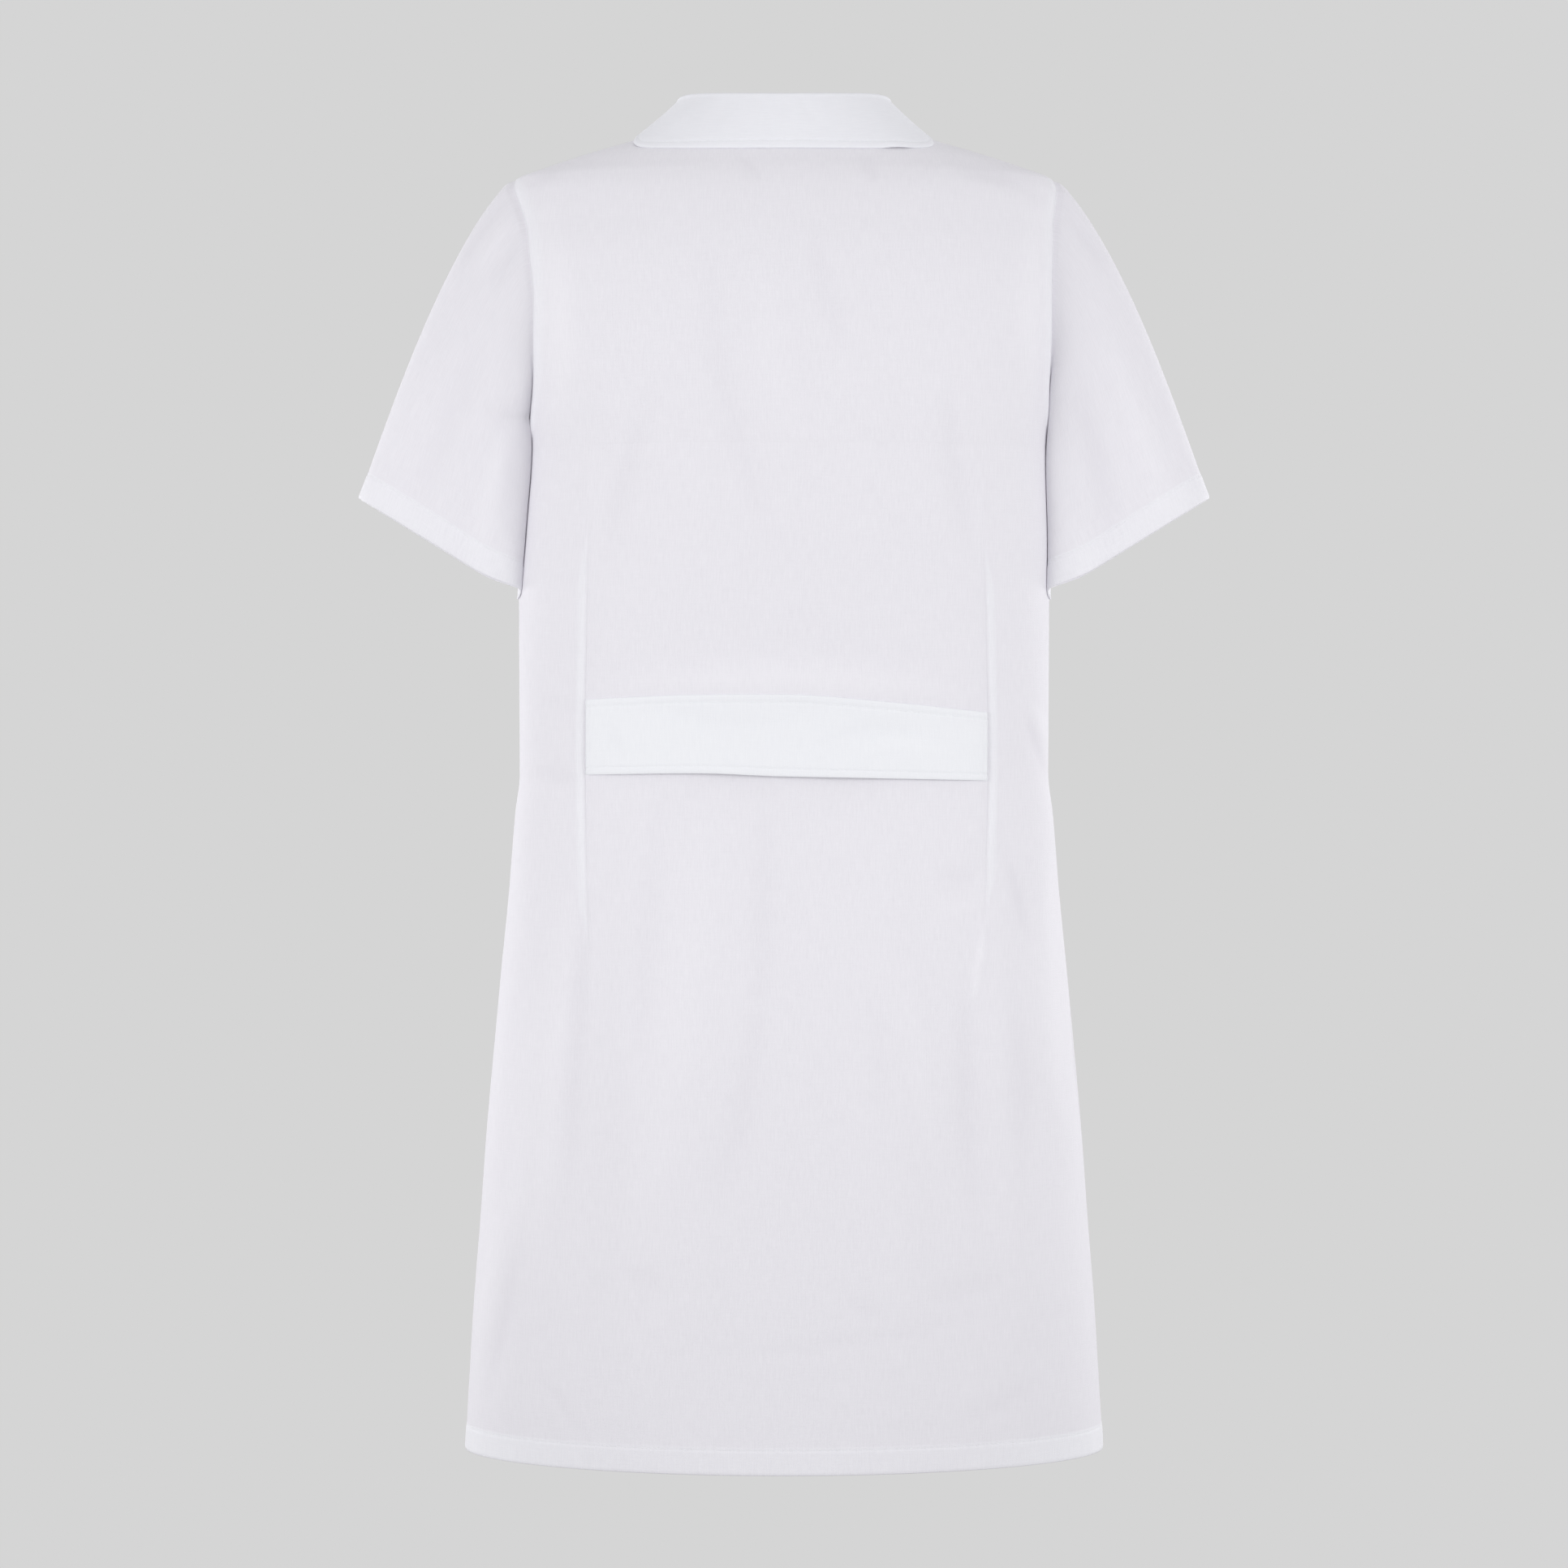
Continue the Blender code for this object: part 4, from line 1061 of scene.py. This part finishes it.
def make_front(side):
    """One of the two fronts, with the stitches of its hem and of its turned-in straight edge."""
    node = f"front_{WORD[side]}"
    levels = panel_levels(FRONT_NECK_Z)
    start = side * lateral_at_x(side * front_edge_x(levels), levels)
    lateral = panel_columns("front", side, levels, start) * side
    made = make_panel(node, "front", side, levels, lateral)
    low = levels[levels < ARMHOLE_MID]
    runs = [hem_run("front", side, side * start[0], side * 0.99)]
    for inset in FRONT_STITCHES:
        x = np.full_like(low, side * (inset - LAP))
        runs.append(cloth_points(lateral_at_x(x, low), low, "front", side))
    thread = sew(f"{node}_stitches", runs)


def sleeve_ring(side, steps):
    """The armhole's points and outward directions, from the shoulder by the back round."""
    down = ARMHOLE_MID + ARMHOLE_HALF * np.cos(math.pi * np.arange(steps + 1) / steps)
    found = []
    for piece, z in (("back", down), ("front", down[-2:0:-1])):
        lateral = lateral_at_y(armhole_depth(z, piece, side), z, piece) * side
        found.append(cloth_points(lateral, z, piece, side, fine=False))
    return np.concatenate(found, axis=1)


def sleeve_shares(points, steps):
    """Each ring point's share of the way from the top to the underarm, by length, on its own half."""
    lengths = np.linalg.norm(np.roll(points, -1, axis=0) - points, axis=1)
    back, front = (np.concatenate(([0], np.cumsum(half))) for half in (lengths[:steps], lengths[steps:]))
    return np.concatenate((back / back[-1], 1 - front[1:-1] / front[-1]))


def cap_rise(along):
    """How far the sleeve's top line stands off the straight line from shoulder to cuff."""
    inside = np.clip(along, 0, 1)
    rising = (inside / CAP_RISE_PEAK) ** CAP_RISE_POWERS[0]
    return CAP_RISE * rising * ((1 - inside) / (1 - CAP_RISE_PEAK)) ** CAP_RISE_POWERS[1]


def sleeve_folds(side, facing, shares, along):
    """The rise of a sleeve's folds."""
    lift = np.zeros(along.shape)
    for face, share, half, first, last, rise in SLEEVE_FOLDS[side]:
        there = (facing == face) | (shares < 0.02) | (shares > 0.98)
        run = np.clip((along - first) / (last - first), 0, 1)
        swell = np.sin(math.pi * run) ** 0.7 if last < 0.99 else ease(run * 2.5)
        lift += rise * hump((shares - share) / half) * swell * there
    return lift


def cuff_ring(side, facing, shares):
    """The cuff's edge: flat at the top, and fuller round the arm."""
    angle = math.pi * shares
    outer, inner = (np.array((side * x, CUFF_Y, z)) for x, z in (CUFF_OUTER, CUFF_INNER))
    cuff = (outer + inner) / 2 + (outer - inner) / 2 * np.cos(angle)[:, None]
    square = SLEEVE_SQUARE + (SLEEVE_TUCKED - SLEEVE_SQUARE) * ease((shares - 0.45) / 0.35)
    cuff[:, 1] += facing * CUFF_HALF_DEPTH * np.sin(angle) ** square + SLEEVE_BACKWARD * shares
    return cuff


def sleeve_surface(side, steps):
    """The sleeve's outer grid, its outward directions, each point's distance from the cuff, and its painted
    shading.
    """
    start, body = sleeve_ring(side, steps)
    shares = sleeve_shares(start, steps)
    facing = np.where(np.arange(len(start)) <= steps, 1, -1)
    angle = math.pi * shares
    cuff = cuff_ring(side, facing, shares)
    away = cuff - start
    length = np.linalg.norm(away, axis=1)
    edge, near, past = 0.003, CUFF_BAND - 0.006, CUFF_BAND + 0.003
    from_cuff = spaced((CUFF_LEVEL, past, 6), (past, near, 14), (near, edge, 6), (edge, 0, 4))
    upper = spaced((0, 0.06, 8), (0.06, 1, 46))[:-1]
    along = np.concatenate((upper[:, None] * (1 - CUFF_LEVEL / length), 1 - from_cuff[:, None] / length))
    rise_way = unit(np.stack((-away[:, 2] * side, 0 * length, away[:, 0] * side), axis=-1))
    points = start + away * along[..., None]
    points = points + rise_way * (cap_rise(along) * np.cos(angle / 2) ** 4)[..., None]
    points[..., 1] += facing * SLEEVE_FULLNESS * np.sin(math.pi * along) * np.sin(angle)
    # Below the underarm the sleeve lies against the body's side.
    press = np.where(facing > 0, *SLEEVE_PRESS) * ease((shares - 0.62) / 0.30)
    points[..., 0] -= side * press * ease((UNDERARM_Z + 0.030 - points[..., 2]) / 0.05)
    points = clear_of_body(points, side, along)
    normals = grid_normals(points, points - points.mean(axis=1, keepdims=True), closed=True)
    lift = sleeve_folds(side, facing, shares, along)
    # Painted shading: the folds painted lighter or darker, the whole sleeve painted a little darker, and
    # painted light under the arm.
    relief = np.clip(lift / SLEEVE_PAINTED_SHADE_RISE, -SLEEVE_MOST_PAINTED_SHADE, SLEEVE_MOST_PAINTED_SHADE)
    relief = relief + SLEEVE_PAINTED_SHADE + UNDERARM_PAINTED_LIGHT * ease((shares - 0.56) / 0.12)
    lift = lift * (1 - 0.85 * ease((shares - 0.60) / 0.20))
    distance, from_seam = (1 - along) * length, along * length
    round_way = np.cumsum(np.linalg.norm(np.diff(cuff, axis=0, prepend=cuff[-1:]), axis=1))
    waves = np.sin(round_way * 330) * np.sin(round_way * 87 + side)
    lift += band_relief(distance, CUFF_BAND, CUFF_PUCKER * waves, 0.010, 0.0014)
    gathers = np.sin(shares * 95 + 2 * np.sin(shares * 17)) * ease((0.62 - shares) / 0.3)
    lift += CAP_GATHERS * gathers * bell(from_seam - 0.008, 0.0065)
    points = points + normals * lift[..., None]
    # The first rows leave from under the body's edge, and a tuck carries on beneath it.
    way = unit(away)
    straight = ease((shares - 0.45) / 0.20)[:, None]
    leaving = unit(square_to(way, body) * (1 - straight) + way * straight)
    hidden = start - body * SEAM_UNDER + leaving * from_seam[..., None]
    near = bell(from_seam, 0.0022)[..., None]
    points = points * (1 - near) + hidden * near
    tuck = [start - body * SEAM_UNDER * 1.1 - leaving * SEAM_TUCK * share for share in (1, 0.5)]
    points = np.concatenate((tuck, points))
    normals, distance, relief = (np.concatenate((grid[[0, 0]], grid)) for grid in (normals, distance, relief))
    distance[:2] += np.array((1, 0.5))[:, None] * SEAM_TUCK
    return points, normals, distance, relief


def body_side(y, z, piece, side):
    """How far out the body's side lies at this depth and level."""
    share = np.minimum(np.abs(y) / DEPTH[piece](z), 1) ** SQUARENESS(z)
    return HALF_WIDTH(z) * (1 - share) ** (1 / SQUARENESS(z)) + SHIFT(z) * side


def clear_of_body(points, side, along):
    """The points, moved to where they lie against the body's side instead of inside it."""
    x, y, z = np.moveaxis(points, -1, 0).copy()
    for piece, own in FACING.items():
        armhole = armhole_depth(z, piece, side)
        clinging = ease((SLEEVE_CLING_Z - z) / SLEEVE_CLING_BLEND)
        # The sleeve slopes down to the line where it meets the body.
        meets = np.maximum(armhole, SLEEVE_MEETS(z))
        slope = SLEEVE_LEAVES * np.maximum(x * side - body_side(meets, z, piece, side), 0)
        over = own * y - meets - slope
        over = (over + np.sqrt(over * over + 0.002**2)) / 2 * clinging
        y = np.where(own * y > 0, y - own * np.minimum(over, np.abs(y)), y)
        half = own * y >= 0
        here = half & (z <= SHOULDER_Z) & (along > 0) & (np.abs(y) >= armhole - 0.0010)
        beside = body_side(y, z, piece, side) + SLEEVE_REST
        x = np.where(here, side * np.maximum(x * side, beside), x)
        # Near the body the cloth clings to it, so that no gap is seen beside it.
        gap = np.maximum(x * side - beside, 0)
        near = ease((np.abs(y) - armhole + SLEEVE_CLING_REACH) / SLEEVE_CLING_REACH) * clinging * half
        x = x - side * near * SLEEVE_CLING * (1 - np.exp(-gap / SLEEVE_CLING)) * ease((0.035 - gap) / 0.030)
    return np.stack((x, y, z), axis=-1)


def make_sleeve(side):
    """A short sleeve with its turned-up cuff."""
    node = f"sleeve_{WORD[side]}"
    points, normals, distance, relief = sleeve_surface(side, int(58 * GRID))
    inner, square = wall(points, normals, distance, CUFF_BAND, closed=True)
    layers = CUFF_LAYERS * ease((CUFF_BAND - distance) / 0.0012)
    mesh = shell_mesh(f"{node}_cloth", points, inner, closed=True, relief=relief, layers=layers)
    made = add_piece(mesh, CLOTH_LOOK, node)
    row = np.abs(distance[:, 0] - CUFF_BAND + STITCH_INSET).argmin()
    loop = [np.concatenate((grid[row], grid[row, :1])) for grid in (points, square)]
    thread = sew(f"{node}_stitches", [loop])


def collar_grid(ways, side, downs):
    """The collar's outer face, for ways round the neck and places down the fall, and the fall's lengths."""
    neck_z, stand, edge_x, edge_z, off, crown = (curve(ways) for curve in curves(COLLAR))
    base, normal, edge, edge_normal = np.empty((4, len(ways), 3))
    behind, ahead = ways <= 1, ways > 1
    base[behind], normal[behind] = cloth_points(ways[behind] * side, neck_z[behind], "back", fine=False)
    x = np.maximum(front_edge_x(neck_z), COLLAR_END_X) * side
    places = lateral_at_x(x[ahead], neck_z[ahead])
    base[ahead], normal[ahead] = cloth_points(places, neck_z[ahead], "front", side, fine=False)
    for piece, here in (("back", ways < 1), ("front", ways >= 1)):
        places = lateral_at_x(edge_x[here] * side, edge_z[here])
        edge[here], edge_normal[here] = cloth_points(places, edge_z[here], piece, fine=False)
    turn = ease((ways - 1) * COLLAR_TURN)[:, None]
    rise = unit(np.array((0, 0, 1)) * (1 - turn) + normal * turn)
    outward = unit(unit(normal * (1, 1, 0)) * (1 - turn) + square_to(edge - base, rise) * turn)
    lift = np.maximum((outward * normal).sum(axis=1, keepdims=True), 0) * COLLAR_CLOTH * 0.7
    foot = base - outward * COLLAR_INSIDE + normal * lift + rise * 0.0006
    fold_in = foot + rise * stand[:, None]
    fold_out = fold_in + outward * COLLAR_FOLD
    rows = [foot + (fold_in - foot) * share for share in spaced((0, 1, 8))]
    for angle in spaced((math.pi, 0, 14))[1:-1]:
        bend = outward * math.cos(angle) + rise * math.sin(angle)
        rows.append((fold_in + fold_out) / 2 + bend * COLLAR_FOLD / 2)
    opened = sum(height * hump((ways * side - way) / half) for way, half, height in COLLAR_OPENS)
    fall_end = edge + edge_normal * (off - COLLAR_DOWN + COLLAR_OPENS_BY * opened)[:, None]
    crown = crown * (0.25 + 0.75 * ease((ways - 0.60) / 0.30))
    crown_way = unit(edge_normal + rise + outward) * crown[:, None]
    for down in downs:
        rows.append(fold_out + (fall_end - fold_out) * down + crown_way * math.sin(math.pi * down))
    return np.stack(rows, axis=1), np.linalg.norm(fall_end - fold_out, axis=1)


def make_collar():
    """The collar: its stand, its fold, and its fall with stitches round the edge."""
    ways = spaced((0, 0.8, 34), (0.8, 1.2, 34), (1.2, 2, 44))
    downs = spaced((0, 0.72, 18), (0.72, 0.97, 16), (0.97, 1, 3))
    left, fall = collar_grid(ways, 1, downs)
    right, _ = collar_grid(ways[1:], -1, downs)
    points = np.concatenate((right[::-1], left))
    lengths = np.concatenate((fall[:0:-1], fall))
    toward = np.zeros(points.shape)
    toward[len(points) // 2, -1] = (0, 1, 0)
    normals = grid_normals(points, toward)
    # The fall, which is the outside: distances from its lower edge and from the collar's two front edges.
    outside = points[:, -len(downs) :]
    x, y, z = np.moveaxis(outside, -1, 0)
    low = (1 - downs) * lengths[:, None]
    ends = np.minimum(*(np.linalg.norm(outside - outside[[end]], axis=2) for end in (0, -1)))
    edge = np.minimum(low, ends)
    lift = groove(edge - COLLAR_STITCH, COLLAR_STITCH_SINK) - EDGE_ROLL * bell(edge, 0.0011)
    lift = lift + crease_sum(CREASES["collar"], x, z) * (y > 0)
    outside += normals[:, -len(downs) :] * lift[..., None]
    square = grid_normals(points, normals)
    mesh = shell_mesh("collar_cloth", points, points - square * COLLAR_CLOTH)
    made = add_piece(mesh, SHADED_COLLAR_LOOK, "collar")
    square = square[:, -len(downs) :]
    inside = (ends[:, -1] > COLLAR_STITCH).nonzero()[0]
    at = 1 - COLLAR_STITCH / lengths
    around = [[between(at[index], downs, grid[index]) for index in inside] for grid in (outside, square)]
    runs = [around]
    for index in (inside[0], inside[-1]):
        keep = low[index] > COLLAR_STITCH
        runs.append((outside[index][keep], square[index][keep]))
    thread = sew("collar_stitches", runs)


def make_belt():
    """The half belt, its ends sewn into the darts, standing off a little at its lower edge."""
    top, bottom = curves(BELT_EDGES)
    shares = spaced((0, 0.02, 5), (0.02, 0.98, 110), (0.98, 1, 5))
    stitch = BELT_STITCH / BELT_HEIGHT
    past, near = stitch + 0.06, 0.94 - stitch
    downs = spaced((0, 0.02, 3), (0.02, past, 10), (past, near, 14), (near, 0.98, 10), (0.98, 1, 3))
    down = downs[:, None]
    left_x, right_x = BELT_ENDS
    x = left_x + (right_x - left_x) * shares + 0 * down
    z = top(x) + (bottom(x) - top(x)) * down
    points, normals = cloth_points(lateral_at_x(x, z), z, "back", fine=False)
    pull = np.minimum(dart_relief("back", x, z), 0) * 0.6
    arch = np.sin(math.pi * shares)
    lift = BELT_SEAT + BELT_CLOTH - pull + BELT_STAND_OFF * down**1.5 * arch**0.8
    lift = lift + BELT_WANDER * np.sin(shares * 21 + 0.6) * arch * down
    edge = np.minimum(down, 1 - down) * BELT_HEIGHT
    lift = lift + groove(edge - BELT_STITCH, BELT_STITCH_SINK) - EDGE_ROLL * bell(edge, 0.0010)
    lift = lift + crease_sum(CREASES["half_belt"], x, z)
    lift = lift - BELT_END_DIP * bell(np.minimum(x.max() - x, x - x.min()), 0.0022)
    points = points + normals * lift[..., None]
    square = grid_normals(points, normals)
    # Painted shade and painted light on the belt's creases, by how steep they are.
    tone = CREASE_PAINTED_SHADE * crease_sum(CREASES["half_belt"], x, z, steep=True)
    mesh = shell_mesh("half_belt_cloth", points, points - square * BELT_CLOTH, relief=tone)
    made = add_piece(mesh, DOUBLE_LOOK, "half_belt")
    rows = [np.abs(downs - at).argmin() for at in (stitch, 1 - stitch)]
    runs = [(points[row, 2:-2], square[row, 2:-2]) for row in rows]
    thread = sew("belt_stitches", runs)


def button_mesh():
    """A dished four-hole button, its face towards +Z."""
    made = bmesh.new()
    points = [made.verts.new((r, 0, z)) for r, z in BUTTON_PROFILE]
    edges = [made.edges.new(pair) for pair in zip(points, points[1:])]
    turn = {"cent": (0, 0, 0), "axis": (0, 0, 1), "angle": 2 * math.pi, "steps": 40}
    bmesh.ops.spin(made, geom=points + edges, use_duplicate=False, **turn)
    bmesh.ops.remove_doubles(made, verts=made.verts, dist=1e-6)
    bmesh.ops.recalc_face_normals(made, faces=made.faces)
    disc = link("disc", mesh_from(made, "disc"))
    made = bmesh.new()
    for x, y in ((1, 1), (-1, 1), (-1, -1), (1, -1)):
        spot = Matrix.Translation((x * BUTTON_HOLE_PLACE, y * BUTTON_HOLE_PLACE, 0))
        size = {"radius1": BUTTON_HOLE_RADIUS, "radius2": BUTTON_HOLE_RADIUS, "depth": 0.006}
        bmesh.ops.create_cone(made, cap_ends=True, segments=14, matrix=spot, **size)
    cutter = link("cutter", mesh_from(made, "cutter"))
    cut = disc.modifiers.new("holes", "BOOLEAN")
    cut.operation = "DIFFERENCE"
    cut.solver = "EXACT"
    cut.object = cutter
    bpy.context.view_layer.update()
    evaluated = disc.evaluated_get(bpy.context.evaluated_depsgraph_get())
    finished = bpy.data.meshes.new_from_object(evaluated)
    for scrap in (disc, cutter):
        bpy.data.objects.remove(scrap, do_unlink=True)
    finished.shade_smooth()
    finished.set_sharp_from_angle(angle=math.radians(35))
    return finished


def button_threads(name):
    """The two parallel threads over a button's holes."""
    arc = np.linspace(-1, 1, 9)
    rise = 0.0004 + 0.00045 * np.cos(arc * 1.2)
    x = arc * BUTTON_HOLE_PLACE
    runs = [np.stack((x, 0 * x + y, rise), axis=-1) for y in (-BUTTON_HOLE_PLACE, BUTTON_HOLE_PLACE)]
    return thread_mesh(name, runs, BUTTON_THREAD_RADIUS, 8)


def make_buttons():
    """The buttons on the left front, the threads that hold them, and the buttonholes of the right front."""
    disc = button_mesh()
    holes = []
    for number in range(1, BUTTON_COUNT + 1):
        z = BUTTON_TOP_Z - BUTTON_PITCH * (number - 1)
        seat, normal = cloth_points(np.array([0.0]), np.array([z]), "front", -1, fine=False)
        seat, normal = Vector(seat[0]), Vector(normal[0])
        turned = normal.to_track_quat("Z", "X").to_matrix().to_4x4()
        here = Matrix.Translation(seat + normal * (BUTTON_GAP + BUTTON_THICK / 2)) @ turned
        button = disc.copy()
        button.name = f"button_{number}_disc"
        thread = button_threads(f"button_{number}_thread")
        for mesh in (button, thread):
            mesh.transform(here)
        add_piece(button, BUTTON_LOOK, f"button_{number}")
        add_piece(thread, THREAD_LOOK)
        up = np.linspace(-BUTTONHOLE_HALF_LENGTH, BUTTONHOLE_HALF_LENGTH, 40)
        levels = z + np.concatenate((up, up[::-1]))
        across = np.repeat((BUTTONHOLE_HALF_WIDTH, -BUTTONHOLE_HALF_WIDTH), len(up))
        loop = cloth_points(lateral_at_x(across, levels), levels, "front", -1)
        holes.append([np.concatenate((part, part[:1])) for part in loop])
    add_piece(buttonhole_mesh("buttonholes", holes), THREAD_LOOK)


def buttonhole_mesh(name, loops):
    """Close zigzag sewing round buttonholes: a short thread across the loop at each step."""
    runs = []
    for line, outward in loops:
        lengths = way_along(line)
        at = np.arange(0, lengths[-1], BUTTONHOLE_PITCH)
        spot, ahead = between(at, lengths, line), between(at + 0.0002, lengths, line)
        up = unit(between(at, lengths, outward))
        beside = np.cross(unit(ahead - spot), up) * BUTTONHOLE_THREAD_HALF
        runs.append(np.stack((spot - beside, spot + up * 0.00022, spot + beside), axis=1))
    return thread_mesh(name, np.concatenate(runs), BUTTONHOLE_THREAD_RADIUS, 4)


def make_stage():
    """A plain pale floor below the tunic, and the same pale grey all round."""
    world = bpy.data.worlds.new("studio")
    world.use_nodes = True
    background = world.node_tree.nodes["Background"].inputs
    background["Color"].default_value = STUDIO_GREY
    background["Strength"].default_value = 1
    bpy.context.scene.world = world
    made = bmesh.new()
    bmesh.ops.create_circle(made, cap_ends=True, segments=96, radius=FLOOR_RADIUS)
    floor = link("floor", mesh_from(made, "floor"))
    floor.location = (0, 0, FLOOR_Z)
    look = Look("pale_floor")
    look.feed(look.shader, Base_Color=(0, 0, 0, 1), Roughness=1, Specular_IOR_Level=0)
    look.feed(look.shader, Emission_Color=STUDIO_GREY, Emission_Strength=1)
    floor.data.materials.append(look.material)


def add_lamp(name, place, power):
    """A square soft light that faces the tunic, itself unseen."""
    data = bpy.data.lights.new(name, "AREA")
    data.shape = "SQUARE"
    data.size = LAMP_SIZE
    data.energy = power
    lamp = link(name, data)
    lamp.visible_camera = False
    lamp.location = place
    way = Vector(LAMP_AIM) - Vector(place)
    lamp.rotation_euler = way.to_track_quat("-Z", "Y").to_euler()


def make_camera():
    """The photograph's view: from straight behind, level with the tunic's middle."""
    data = bpy.data.cameras.new("camera")
    data.sensor_width = 36
    data.lens = CAMERA_LENS
    data.clip_end = 60
    camera = link("camera", data)
    camera.location = CAMERA_PLACE
    camera.rotation_euler = (math.pi / 2, 0, math.pi)
    bpy.context.scene.camera = camera


def main():
    """Sets the stage and makes every piece."""
    make_stage()
    make_camera()
    for name, place, power in LAMPS:
        add_lamp(name, place, power)
    bpy.context.scene.view_settings.view_transform = "Standard"
    bpy.context.scene.view_settings.look = "None"
    make_back()
    for side in (1, -1):
        make_front(side)
    for side in (1, -1):
        make_sleeve(side)
    make_collar()
    make_belt()
    make_buttons()


main()
